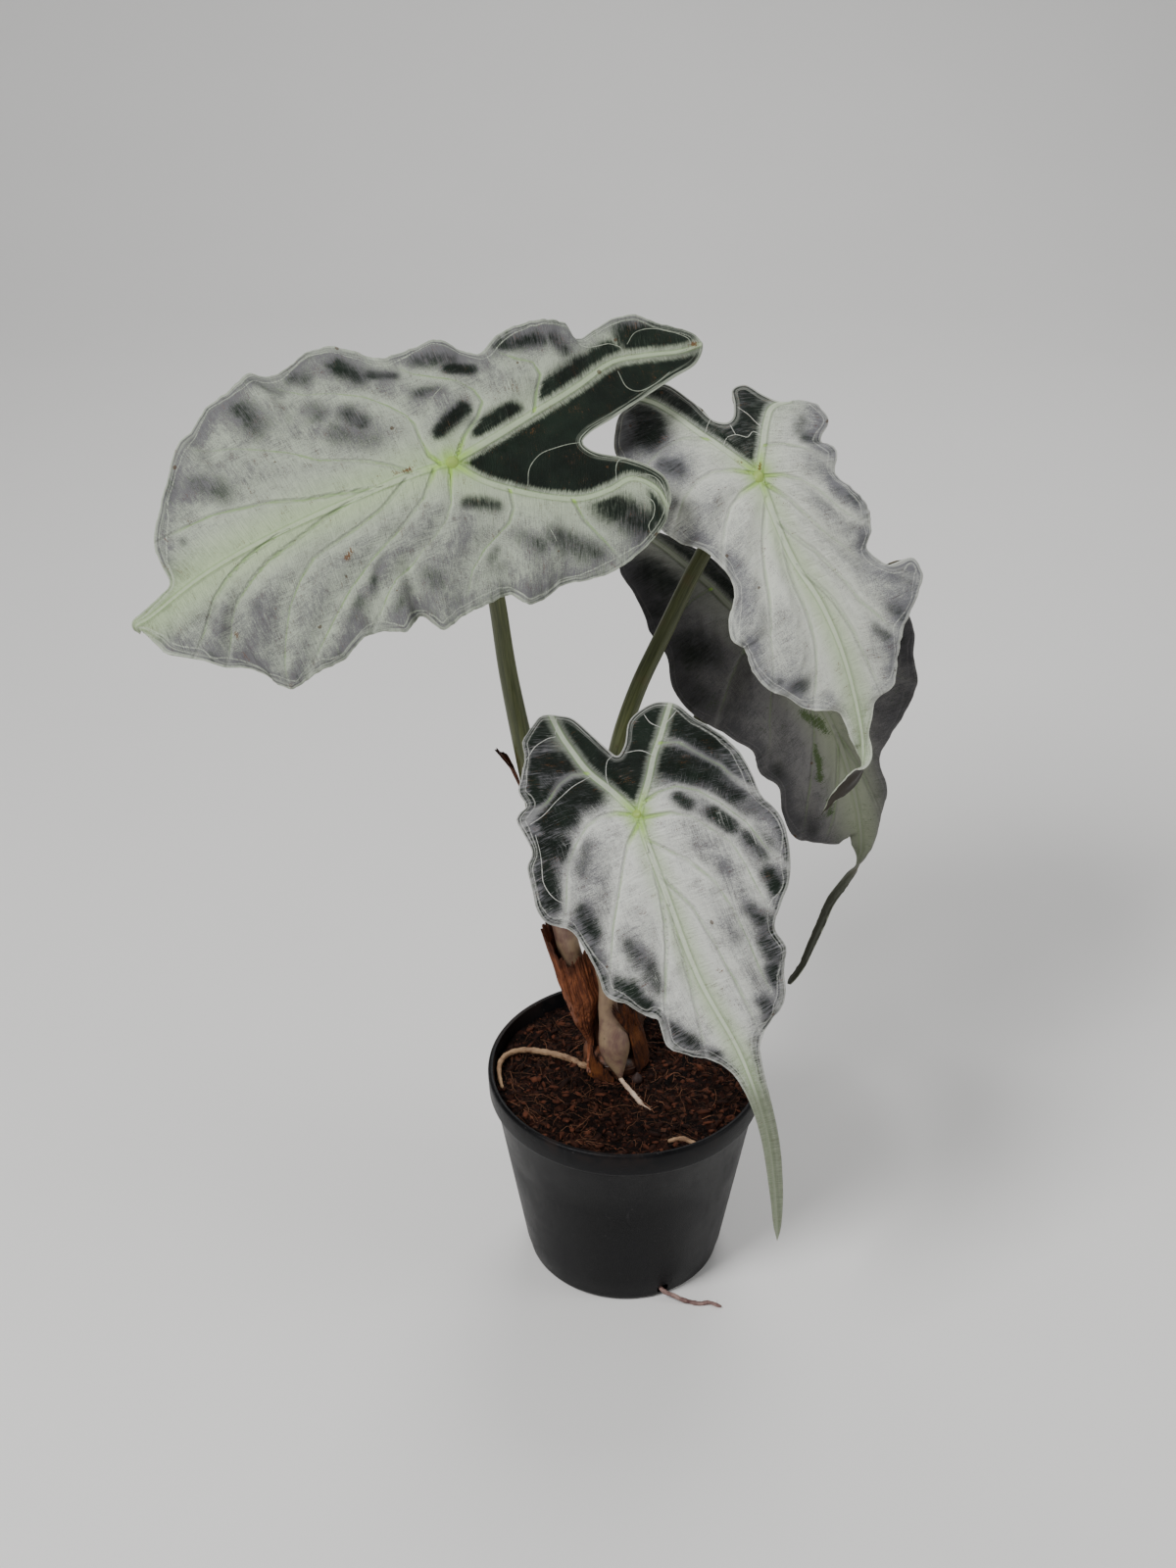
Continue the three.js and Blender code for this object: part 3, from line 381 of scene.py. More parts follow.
RIGHT_BLADE = BladeShape(
    name="right",
    axis=[
        (40, 58, 387), (49, 30, 365), (61, 14, 339), (73, 6, 322), (82, 0, 303), (90, -3, 275),
        (92, -3, 263), (92, -4, 255), (87, -7, 249), (81, -11, 245), (76, -14, 238),
    ],
    stalk_at=1,
    facing=(0.1, -0.75, 0.65),
    roll=((0, 0), (116, 0), (128, 110), (140, 160), (152, 190)),
    ribs={
        Side.LEFT: [(-11, 5), (-21, 9), (-27, 13), (-28, 20)],
        Side.RIGHT: [(-14, -11), (-23, -19), (-31, -25), (-38, -31), (-42, -37)],
    },
    margins={Side.LEFT: [
        (-28, 24), (-23, 30, 2), (-17, 33, -1), (-9, 28, -2), (0, 31, 3), (9, 29, -2), (17, 32, 1),
        (27, 35, 2), (43, 33), (49, 28, -3), (55, 31, -2), (57, 40, 3), (63, 41, 2), (70, 35), (77, 26, 1),
        (87, 21, -1), (96, 16, 1), (101, 8, -1), (106, 5, 1), (113, 3), (121, 4), (128, 5), (136, 3),
        (144, 1.5),
    ], Side.RIGHT: [
        (-40, -41), (-36, -46), (-29, -49, 1), (-22, -51), (-9, -50), (1, -48), (9, -43, 1), (15, -37, -2),
        (19, -31), (24, -28, 1), (32, -25, -2), (37, -29, 1), (41, -35), (46, -38, 2), (55, -35, -1),
        (67, -36), (77, -33, 1), (85, -26, -1), (92, -21), (95, -14, 2), (101, -7, -2), (106, -6),
        (113, -5, 1), (120, -3), (130, -4), (138, -3), (145, -1.5),
    ]},
    inner=[
        (-45, -33), (-46, -26), (-36, -17), (-26, -11), (-24, -6), (-26, -3), (-32, -1), (-38, 0), (-39, 5),
        (-33, 11), (-29, 16),
    ],
    veins={Side.LEFT: [
        [(-11, 6), (-10, 13), (-6, 20), (2, 26), (10, 32)],
        [(1, 1), (3, 9), (7, 15), (13, 20), (22, 24), (34, 30)],
        [(4, 1), (13, 8), (26, 14), (40, 19), (50, 23), (58, 32)],
        [(20, 1), (36, 9), (50, 12), (61, 14), (72, 20)], [(42, 1), (57, 5), (70, 7), (80, 8), (92, 10)],
    ], Side.RIGHT: [
        [(-18, -15), (-20, -24), (-18, -32), (-12, -42)],
        [(-1, -2), (-4, -9), (-5, -17), (-3, -24), (1, -31), (8, -37)],
        [(3, -2), (5, -9), (9, -15), (14, -19), (20, -23), (28, -27)],
        [(13, -2), (23, -7), (32, -11), (40, -15), (48, -20), (57, -24), (70, -28)],
        [(30, -1), (44, -5), (57, -7), (69, -9), (84, -14)],
    ]},
    islands=[
        (-11, -35, -8, -30, 3, 0.7), (2, -36, 2, -35, 2, 0.55), (58, 31, 63, 36, 2.8, 0.5),
        (68, 24, 73, 27, 2.8, 0.55), (73, 15, 77, 18, 2.4, 0.6), (80, -22, 82, -18, 3, 0.6),
        (-34, -36, -24, -36, 6, 1.1), (74, -30, 76, -28, 2, 0.55), (90, -10, 91, -10, 2, 0.4),
        (18, 17, 21, 20, 2.4, 0.35), (24, -24, 25, -24, 2, 0.5), (80, 11, 81, 11, 2.4, 0.4),
        (21, 31, 24, 32, 2.2, 0.6), (-1, 29, 0, 29, 1.8, 0.55), (-18, 22, -14, 20, 2.6, 0.55),
        (-4, 22, 0, 26, 2.4, 0.5), (-22, -44, -30, -42, 3, 0.6), (45, 29, 49, 27, 2.6, 0.4),
        (-11, 22, -9, 26, 2.6, 0.65), (16, 26, 22, 28, 2.4, 0.4),
    ],
    threads=[
        [(-14, -10), (-17, -8), (-18, -4), (-16, 0), (-18, 3), (-15, 6)], [(-18, -4), (-23, -5)],
        [(-20, -16), (-25, -13), (-27, -11)], [(-17, 8), (-22, 5), (-26, 3), (-30, 0)],
    ],
    scars=[(-2, 1, -4, 2, 0.9, 1), (-6, -5, -8, -7, 0.5, 1)],
    finish=BladeFinish(
        silver=(0.7, 0.72, 0.635), lilac=(0.19, 0.19, 0.205), hollow=0.1, band=0.3, band_width=3.0,
        blotchy=0.62, vein_line=0.28, green_reach=10, edge_line=0.45, lobe_shade=0.2, wisps=0.4,
    ),
)

REAR_BLADE = BladeShape(
    name="rear",
    axis=[
        (48, 100, 285), (59, 80, 270), (73, 68, 255), (86, 59, 239), (96, 52, 214), (102, 48, 185),
        (101, 47, 174), (96, 44, 166), (90, 42, 157), (86, 41, 145), (82, 41, 132), (79, 42, 121),
        (74, 44, 110),
    ],
    stalk_at=1,
    facing=(0, -0.85, 0.53),
    roll=((0, 0), (106, 0), (122, 150), (140, 200), (165, 190), (190, 230)),
    ribs={
        Side.LEFT: [(-14, 9), (-28, 15), (-41, 20), (-53, 26), (-62, 32)],
        Side.RIGHT: [(-16, -8), (-29, -12), (-42, -17), (-56, -23), (-67, -29)],
    },
    margins={Side.LEFT: [
        (-60, 39), (-50, 45, 1), (-38, 47), (-26, 49, -1), (-12, 51, 1), (2, 53), (14, 54, 1), (27, 54),
        (37, 51, -1), (43, 44, 1), (49, 41, -1), (55, 32, 1), (63, 21, -1), (70, 14), (83, 14, 1),
        (94, 10, -1), (105, 6), (112, 3), (130, 2.2), (150, 2), (170, 1.6), (185, 1),
    ], Side.RIGHT: [
        (-67, -35), (-62, -40), (-54, -44), (-42, -43, 1), (-30, -43), (-22, -44, -1), (-8, -42, 1),
        (0, -46), (7, -46, 1), (16, -43, -1), (29, -38), (37, -35, 1), (57, -36, -1), (66, -31, 2),
        (81, -32, -1), (96, -29, 1), (103, -20), (105, -11, 1), (99, -6, -1), (108, -4), (118, -2.4),
        (136, -2.2), (155, -2), (172, -1.5), (186, -1),
    ]},
    inner=[
        (-64, -23), (-52, -13), (-41, -6), (-32, -3), (-26, 0), (-31, 5), (-41, 10), (-52, 17), (-60, 25),
    ],
    veins={Side.LEFT: [
        [(-28, 16), (-27, 26), (-21, 36), (-12, 47)], [(1, 2), (5, 12), (10, 24), (14, 36), (20, 50)],
        [(9, 1), (20, 10), (32, 20), (41, 30), (48, 38)], [(30, 1), (46, 6), (58, 9), (68, 12)],
        [(54, 1), (72, 5), (88, 8)],
    ], Side.RIGHT: [
        [(-28, -13), (-27, -22), (-22, -32), (-15, -42)],
        [(0, -2), (3, -14), (8, -24), (14, -34), (20, -42)],
        [(10, -1), (21, -12), (32, -22), (46, -30), (58, -35)],
        [(32, -1), (48, -8), (62, -14), (78, -20), (94, -25)], [(58, -1), (74, -6), (90, -11), (102, -16)],
    ]},
    islands=[
        (-48, -33, -38, -28, 6, 0.8), (-10, -34, -2, -24, 5, 0.6), (-30, -36, -28, -30, 5, 0.6),
        (6, -38, 14, -34, 4, 0.55), (-36, 36, -24, 40, 5, 0.6), (8, 42, 20, 44, 4, 0.6),
        (56, -30, 60, -30, 3, 0.5), (88, -24, 92, -22, 3, 0.5), (28, 44, 34, 42, 3, 0.6),
    ],
    scars=[
        (38, -8, 46, -5, 2.4, 1), (43, -4, 50, -4, 2, 1), (54, -10, 70, -13, 1.4, 1),
        (81, -11, 87, -12, 2, 1),
    ],
    # The rear blade's colours are set far darker than the other blades' (silver about 0.17 against 0.7):
    # painted shade, for the shade that this leaf lies in.
    finish=BladeFinish(
        silver=(0.168, 0.163, 0.157), lilac=(0.064, 0.062, 0.066), dark=(0.004, 0.006, 0.004),
        rib=(0.27, 0.31, 0.19), band=0.15, blotchy=0.8, fringe=1.2, vein_line=0.35,
        lobe_shade=0.12, rubbed=(0.04, 0.07, 0.016), edge_line=0.3, tip=(0.055, 0.06, 0.04),
    ),
)

BLADES = [LEFT_BLADE, FRONT_BLADE, RIGHT_BLADE, REAR_BLADE]


class Shader:
    """A short hand for building the node tree of a material or a group."""

    def __init__(self, tree: Tree) -> None:
        """Keeps the tree that the nodes go into."""
        self.tree = tree

    def node(self, kind: str, inputs: dict | None = None, **settings: object) -> Node:
        """Adds a node.

        Args:
            kind: The node's type, without its ShaderNode.
            inputs: What each input holds: a socket to link, or a value.
            settings: The node's own properties.

        Returns:
            The node.
        """
        made = self.tree.nodes.new("ShaderNode" + kind)
        for name, value in settings.items():
            setattr(made, name, value)
        for name, value in (inputs or {}).items():
            self.feed(made.inputs[name], value)
        return made

    def feed(self, socket: Socket, value: object) -> None:
        """Links a socket to an input, or sets the input's value."""
        if isinstance(value, Socket):
            self.tree.links.new(value, socket)
        elif socket.type == "RGBA" and len(value) == 3:
            socket.default_value = (*value, 1)
        else:
            socket.default_value = value

    def math(self, operation: str, *values: object) -> Socket:
        """Returns the result of a Math node on sockets or numbers."""
        return self.node("Math", dict(enumerate(values)), operation=operation).outputs[0]

    def total(self, *values: object) -> Socket:
        """Returns the sum of sockets or numbers."""
        return reduce(partial(self.math, "ADD"), values)

    def times(self, *values: object) -> Socket:
        """Returns the product of sockets or numbers."""
        return reduce(partial(self.math, "MULTIPLY"), values)

    def step(self, value: object, low: object, high: object, first: float = 0, last: float = 1) -> Socket:
        """Returns a soft step from first at low to last at high."""
        inputs = {"Value": value, "From Min": low, "From Max": high, "To Min": first, "To Max": last}
        return self.node("MapRange", inputs, interpolation_type="SMOOTHSTEP").outputs[0]

    def mix(self, factor: object, a: object, b: object) -> Socket:
        """Returns two colours mixed by a factor."""
        return self.node("Mix", {0: factor, 6: a, 7: b}, data_type="RGBA", clamp_factor=True).outputs[2]

    def noise(self, vector: Socket, scale: float, detail: float = 2, rough: float = 0.5) -> Socket:
        """Returns the value of a Noise Texture."""
        inputs = {"Vector": vector, "Scale": scale, "Detail": detail, "Roughness": rough}
        return self.node("TexNoise", inputs).outputs[0]

    def attribute(self, name: str) -> Socket:
        """Returns a number kept at the mesh's points."""
        return self.node("Attribute", attribute_name=name).outputs["Fac"]

    def uv(self, name: str) -> Socket:
        """Returns a place on one of the mesh's own maps."""
        return self.node("UVMap", uv_map=name).outputs[0]

    def xyz(self, vector: Socket) -> tuple[Socket, Socket, Socket]:
        """Returns a vector's three parts."""
        node = self.node("SeparateXYZ", {0: vector})
        return node.outputs[0], node.outputs[1], node.outputs[2]

    def about(self, value: Socket, reach: float) -> Socket:
        """Returns how far a noise lies from its middle, times a reach."""
        return self.math("MULTIPLY_ADD", value, reach, -0.5 * reach)

    def stretched(self, vector: Socket, scale: Point) -> Socket:
        """Returns a vector with each part scaled."""
        return self.node("Mapping", {"Vector": vector, "Scale": scale}).outputs[0]

    def place(self) -> Socket:
        """Returns the place in the object, in metres."""
        return self.node("TexCoord").outputs["Object"]

    def bump(self, height: Socket, distance: float, strength: float = 1.0) -> Socket:
        """Returns a normal bent by a height in units of distance, in metres."""
        return self.node("Bump", {"Height": height, "Distance": distance, "Strength": strength}).outputs[0]

    def group(self, tree: Tree, **inputs: object) -> Socket:
        """Places a node group and returns its first output."""
        node = self.node("Group", node_tree=tree)
        for name, value in inputs.items():
            self.feed(node.inputs[name.replace("_", " ")], value)
        return node.outputs[0]


def new_group(name: str, **numbers: float) -> tuple[Shader, list[Socket], Socket]:
    """Starts a node group that makes one number of a vector and some numbers.

    Args:
        name: The group's name.
        numbers: Its number inputs with their values, with _ for a space.

    Returns:
        The group's shader hand, what comes into it and where its result goes.
    """
    tree = bpy.data.node_groups.new(name, "ShaderNodeTree")
    tree.interface.new_socket("Vector", in_out="INPUT", socket_type="NodeSocketVector")
    for label, value in numbers.items():
        label = label.replace("_", " ")
        made = tree.interface.new_socket(label, in_out="INPUT", socket_type="NodeSocketFloat")
        made.default_value = value
    tree.interface.new_socket("Value", in_out="OUTPUT", socket_type="NodeSocketFloat")
    given, out = tree.nodes.new("NodeGroupInput"), tree.nodes.new("NodeGroupOutput")
    return Shader(tree), given.outputs[:-1], out.inputs[0]


class Effects:
    """The shader groups that several finishes share."""

    def __init__(self) -> None:
        """Builds the groups."""
        self.streaks = self.build_streaks()
        self.mottle = self.build_mottle()
        self.specks = self.build_specks()

    def build_streaks(self) -> Tree:
        """Returns a group of fine streaks that run along a map's second coordinate."""
        s, (vector, per_mm, length), out = new_group("fine streaks", Per_mm=1, Length_mm=8)
        across, along, _ = s.xyz(vector)
        across = s.times(across, per_mm)
        along = s.math("DIVIDE", along, length)
        place = s.node("CombineXYZ", {0: across, 1: along}).outputs[0]
        wander = s.times(s.math("SUBTRACT", s.noise(place, 0.35, 1), 0.5), 2.0)
        place = s.node("CombineXYZ", {0: s.total(across, wander), 1: along}).outputs[0]
        s.feed(out, s.noise(place, 1.0, 4, 0.62))
        return s.tree

    def build_mottle(self) -> Tree:
        """Returns a group of soft blotches of two sizes."""
        s, (vector, per_m), out = new_group("soft mottle", Per_m=60)
        coarse = s.noise(vector, per_m, 2)
        small = s.noise(vector, s.times(per_m, 3.7), 3, 0.6)
        s.feed(out, s.total(s.times(coarse, 0.65), s.times(small, 0.35)))
        return s.tree

    def build_specks(self) -> Tree:
        """Returns a group of small scattered dots."""
        s, (vector, per_m, share), out = new_group("scattered specks", Per_m=300, Share=0.1)
        cells = s.node("TexVoronoi", {"Vector": vector, "Scale": per_m})
        chance, _, _ = s.xyz(cells.outputs["Color"])
        size = s.step(chance, 0, share, 0.3, 0)
        s.feed(out, s.math("LESS_THAN", cells.outputs["Distance"], size))
        return s.tree


class Finish(Shader):
    """A material in the making: its node tree, its Principled shader and the shared effects."""

    def __init__(self, effects: Effects, name: str, roughness: float = 0.6, **constants: float) -> None:
        """Makes the material.

        Args:
            effects: The shared effects.
            name: The material's name.
            roughness: Its roughness where nothing is linked.
            constants: Other inputs of the shader, with _ for a space.
        """
        self.effects = effects
        self.material = bpy.data.materials.new(name)
        self.material.use_nodes = True
        super().__init__(self.material.node_tree)
        self.inputs = self.tree.nodes["Principled BSDF"].inputs
        for key, value in {"Roughness": roughness, **constants}.items():
            self.inputs[key.replace("_", " ")].default_value = value

    def streaks(self, vector: Socket, per_mm: float, length: float) -> Socket:
        """Returns fine streaks along a map's second coordinate."""
        return self.group(self.effects.streaks, Vector=vector, Per_mm=per_mm, Length_mm=length)

    def mottle(self, vector: Socket, per_m: float) -> Socket:
        """Returns soft blotches."""
        return self.group(self.effects.mottle, Vector=vector, Per_m=per_m)

    def specked(
        self, place: Socket, color: Socket, per_m: float, share: float, strength: float, tone: Color
    ) -> Socket:
        """Returns a colour with small scattered dots of a tone."""
        specks = self.group(self.effects.specks, Vector=place, Per_m=per_m, Share=share)
        return self.mix(self.times(specks, strength), color, tone)

    def dressed(self, color: Socket, **linked: Socket) -> Material:
        """Links the colour and other inputs, and returns the material."""
        for key, value in {"Base Color": color, **linked}.items():
            self.feed(self.inputs[key], value)
        return self.material


@dataclass(frozen=True)
class BladeMaterials:
    """The finishes of a blade: its silver upper side, its underside and its fine white veins."""

    shape: BladeShape
    effects: Effects

    def upper(self) -> Material:
        """Returns the upper side: silver along the veins, dark green islands, pale ribs."""
        f = self.shape.finish
        s = Finish(self.effects, f"blade upper side {self.shape.name}", Specular_IOR_Level=0.14)
        streaks, place = s.uv("Streaks"), s.place()
        phase, gap, _ = s.xyz(s.uv("Veins"))
        along, outward, _ = s.xyz(streaks)
        rib, edge, lobe = s.attribute("rib"), s.attribute("edge"), s.attribute("lobe")
        dark, hub, scar = s.attribute("dark"), s.attribute("hub"), s.attribute("scar")
        side_vein = s.times(s.math("PINGPONG", phase, 0.5), gap)
        middle = s.math("MULTIPLY_ADD", s.math("COSINE", s.times(phase, math.tau)), -0.5, 0.5)
        beside = s.node("CombineXYZ", {0: outward, 1: side_vein, 2: 3.7}).outputs[0]
        feather = s.streaks(streaks, 1.2, 6)
        strand = s.streaks(beside, 2.4, 6)
        thread = s.streaks(streaks, 3.4, 8)
        blotch = s.mottle(place, 55)
        cloud = s.mottle(place, 170)
        grain = s.noise(place, 2400, 3, 0.65)
        hairs = s.streaks(streaks, 2.8, 4)
        beside_edge = s.node("CombineXYZ", {0: edge, 1: along}).outputs[0]
        rim_lines = s.streaks(beside_edge, 1.7, 30)

        by_vein = s.times(s.step(edge, 5, 11), s.step(side_vein, 9, 4), s.step(rib, 3, 6))
        fuzz = s.total(s.times(strand, by_vein), s.times(feather, s.math("SUBTRACT", 1.0, by_vein)))
        fringe = s.total(rib, s.about(hairs, -4), s.about(feather, -1.5))
        silver_rib = s.times(s.step(fringe, 3.9, 1.5), s.step(lobe, 0, 1, 1, 1 - 0.4 * f.lobe_shade))
        fringe = s.total(side_vein, s.about(strand, -4), s.about(thread, -3))
        silver_vein = s.times(s.step(fringe, 2.2, 0.1), s.step(rib, 26, 2, 0.72, 0.9))
        away = s.step(rib, 4, 24)
        hollow = s.times(middle, away, s.step(blotch, 0.42, 0.62), f.hollow)
        hem = s.times(s.step(edge, f.band_width + 1.5, 1.2), f.band)
        depth = s.total(
            s.math("MAXIMUM", dark, hem), hollow, s.about(fuzz, 0.6 * f.fringe),
            s.about(thread, 0.6 * f.fringe), s.about(cloud, 0.9), s.times(hem, hem, s.about(feather, 3.8)),
        )
        veiled = s.math("SUBTRACT", 1.0, s.math("MAXIMUM", silver_rib, silver_vein))
        islands = s.times(s.step(depth, 0.24, 1.0), veiled)

        tone = s.total(
            0.66, s.step(rib, 24, 1, 0, 0.3), s.times(middle, away, -0.24),
            s.about(blotch, 1.1 * f.blotchy), s.about(cloud, 1.1 * f.blotchy), s.about(fuzz, f.blotchy),
            s.about(thread, 0.8), s.times(s.step(edge, 10, 1), -0.34), s.times(dark, -0.45),
            s.about(grain, 1.3), s.times(lobe, -f.lobe_shade), s.step(hub, 65, 120, 0, -0.17),
        )
        silver = s.mix(s.step(tone, 0.0, 1.0), f.lilac, f.silver)
        tint = s.times(s.step(rib, f.green_reach, 0.5), s.step(lobe, 0, 1, 0.55, 0.2))
        silver = s.mix(tint, silver, f.rib)
        deep = s.mix(s.step(blotch, 0.35, 0.7), f.dark, tuple(2.6 * c for c in f.dark))
        hair = s.math("MAXIMUM", s.step(thread, 0.54, 0.68), s.times(s.step(strand, 0.53, 0.66), by_vein))
        wisps = s.times(hair, s.step(cloud, 0.38, 0.6), s.step(gap, 59.5, 58.5, 0.1, 1), f.wisps)
        color = s.mix(s.times(islands, s.math("SUBTRACT", 1.0, wisps)), silver, deep)

        # light: a paler silver, used for the pale lines along the margins and ribs and for the painted
        # highlight on the vein flanks.
        light = tuple(1.12 * c for c in f.silver)
        green = tuple(c * k for c, k in zip(f.rib, (0.5, 0.62, 0.4)))
        # Brighter flanks beside the side veins, strongest near the stalk: partly the pale silver along the
        # veins, partly painted highlight on the ridges of the folds.
        lit_flank = s.times(
            s.step(side_vein, 2.4, 0.6), s.math("SUBTRACT", 1.0, islands), s.step(lobe, 0, 1, 0.5, 0.2),
            s.step(hub, 75, 20, 0.25, 1), s.step(blotch, 0.35, 0.6, 0.5, 1),
        )
        color = s.mix(lit_flank, color, light)
        # The green line on each side vein is wider near the ribs: partly the veins' own green, partly
        # painted shade in the fold valleys near the stalk.
        line = s.times(s.step(rib, 2, 40, 0.85, 0.4), s.step(cloud, 0.36, 0.6, 0.5, 1.3))
        worn = s.step(blotch, 0.38, 0.58, 0.4 * f.vein_line, 1.3 * f.vein_line)
        color = s.mix(s.times(s.step(side_vein, line, 0.1), s.step(edge, 3, 12), worn), color, green)
        loops = s.times(s.math("SUBTRACT", middle, 0.5), -1.8)
        collector = s.math("ABSOLUTE", s.total(edge, s.times(loops, -1), s.about(blotch, -3.5), -2.7))
        seen = s.times(s.step(thread, 0.4, 0.56, 0.2, 1.1), s.step(gap, 59.5, 58.5, 0.15, 1), f.edge_line)
        color = s.mix(s.times(s.step(collector, 0.34, 0.05), seen), color, light)
        rim = s.times(s.step(edge, 3.2, 0.8), s.step(rim_lines, 0.44, 0.6), f.edge_line)
        color = s.mix(rim, color, light)
        width = s.step(hub, 0, 130, 0.95, 0.4)
        bright = s.mix(0.6, f.rib, light)
        core = s.step(lobe, 0, 1, 0.9, 0.9 - 0.6 * f.lobe_shade)
        color = s.mix(s.times(s.step(rib, s.total(width, 0.3), width), core), color, bright)
        side = s.math("ABSOLUTE", s.math("SUBTRACT", rib, s.total(width, 0.35)))
        color = s.mix(s.times(s.step(side, 0.5, 0.05), 0.35), color, green)
        color = s.mix(s.step(edge, 0.8, 0.15, 0, 1.15 * f.edge_line), color, light)
        plain = s.mix(s.step(thread, 0.35, 0.65), (0.15, 0.17, 0.115), (0.27, 0.3, 0.215))
        color = s.mix(s.step(s.total(hub, s.about(thread, 16)), f.drip, f.drip + 22, 0, 0.85), color, plain)

        lime = (0.33, 0.6, 0.035)
        spokes = s.times(s.step(s.math("MINIMUM", rib, side_vein), 2.0, 0.2), s.step(hub, 15, 3))
        fork = s.times(s.step(rib, 2.2, 0.8), s.step(side_vein, 1.1, 0.2), s.step(lobe, 0, 0.6), 0.6)
        glow = s.math("MAXIMUM", s.times(spokes, 0.7), s.times(s.step(hub, 8, 0), 0.75))
        color = s.mix(s.math("MAXIMUM", glow, fork), color, lime)
        rubbed = s.total(scar, s.about(thread, -2.4), s.about(cloud, -1.8), s.about(grain, -2.2))
        color = s.mix(s.times(s.step(rubbed, 0.45, 0.8), 0.85), color, f.rubbed)
        color = s.specked(place, color, 330, 0.02, 0.7, (0.08, 0.04, 0.015))

        groove = s.times(s.step(side_vein, 1.3, 0.1), s.step(rib, 30, 2, 0.4, 1), -1.0)
        ridge = s.times(s.step(rib, 2.2, 0.5), 0.9)
        height = s.total(groove, ridge, s.times(thread, 0.7), s.times(grain, 0.3), s.times(blotch, 1.0))
        roughness = s.total(s.step(islands, 0, 1, 0.56, 0.42), s.about(grain, 0.15))
        return s.dressed(color, Roughness=roughness, Normal=s.bump(height, 0.001, 1.0))

    def under(self) -> Material:
        """Returns the underside: olive brown with paler ribs."""
        f = self.shape.finish
        s = Finish(self.effects, f"blade underside {self.shape.name}")
        rib, hub, place, streaks = s.attribute("rib"), s.attribute("hub"), s.place(), s.uv("Streaks")
        phase, gap, _ = s.xyz(s.uv("Veins"))
        side_vein = s.times(s.math("PINGPONG", phase, 0.5), gap)
        blotch = s.mottle(place, 70)
        thread = s.streaks(streaks, 2.4, 10)
        warm = tuple(c * k for c, k in zip(f.under, (1.9, 1.5, 1.3)))
        color = s.mix(s.step(s.total(s.times(blotch, 0.7), s.times(thread, 0.3)), 0.3, 0.7), f.under, warm)
        pale = (0.2, 0.21, 0.09)
        color = s.mix(s.times(s.step(side_vein, 0.9, 0.3), 0.5), color, pale)
        color = s.mix(s.times(s.step(rib, 3.2, 1.4), s.step(hub, 112, 96), 0.85), color, pale)
        color = s.mix(s.times(s.step(hub, 108, 124), 0.95), color, f.tip)
        veins = s.times(s.step(side_vein, 1.4, 0.3), 0.8)
        height = s.total(veins, s.times(thread, 0.35), s.times(blotch, 0.4))
        roughness = s.step(blotch, 0.3, 0.7, 0.42, 0.55)
        return s.dressed(color, Roughness=roughness, Normal=s.bump(height, 0.0006, 0.8))

    def thread(self) -> Material:
        """Returns the white of the fine veins that cross the dark parts."""
        s = Finish(self.effects, f"fine veins {self.shape.name}")
        tone = s.noise(s.place(), 900, 2)
        light = tuple(0.85 * c for c in self.shape.finish.silver)
        color = s.mix(s.step(tone, 0.3, 0.7), tuple(0.55 * c for c in light), light)
        return s.dressed(color, Roughness=s.step(tone, 0.2, 0.8, 0.45, 0.6))


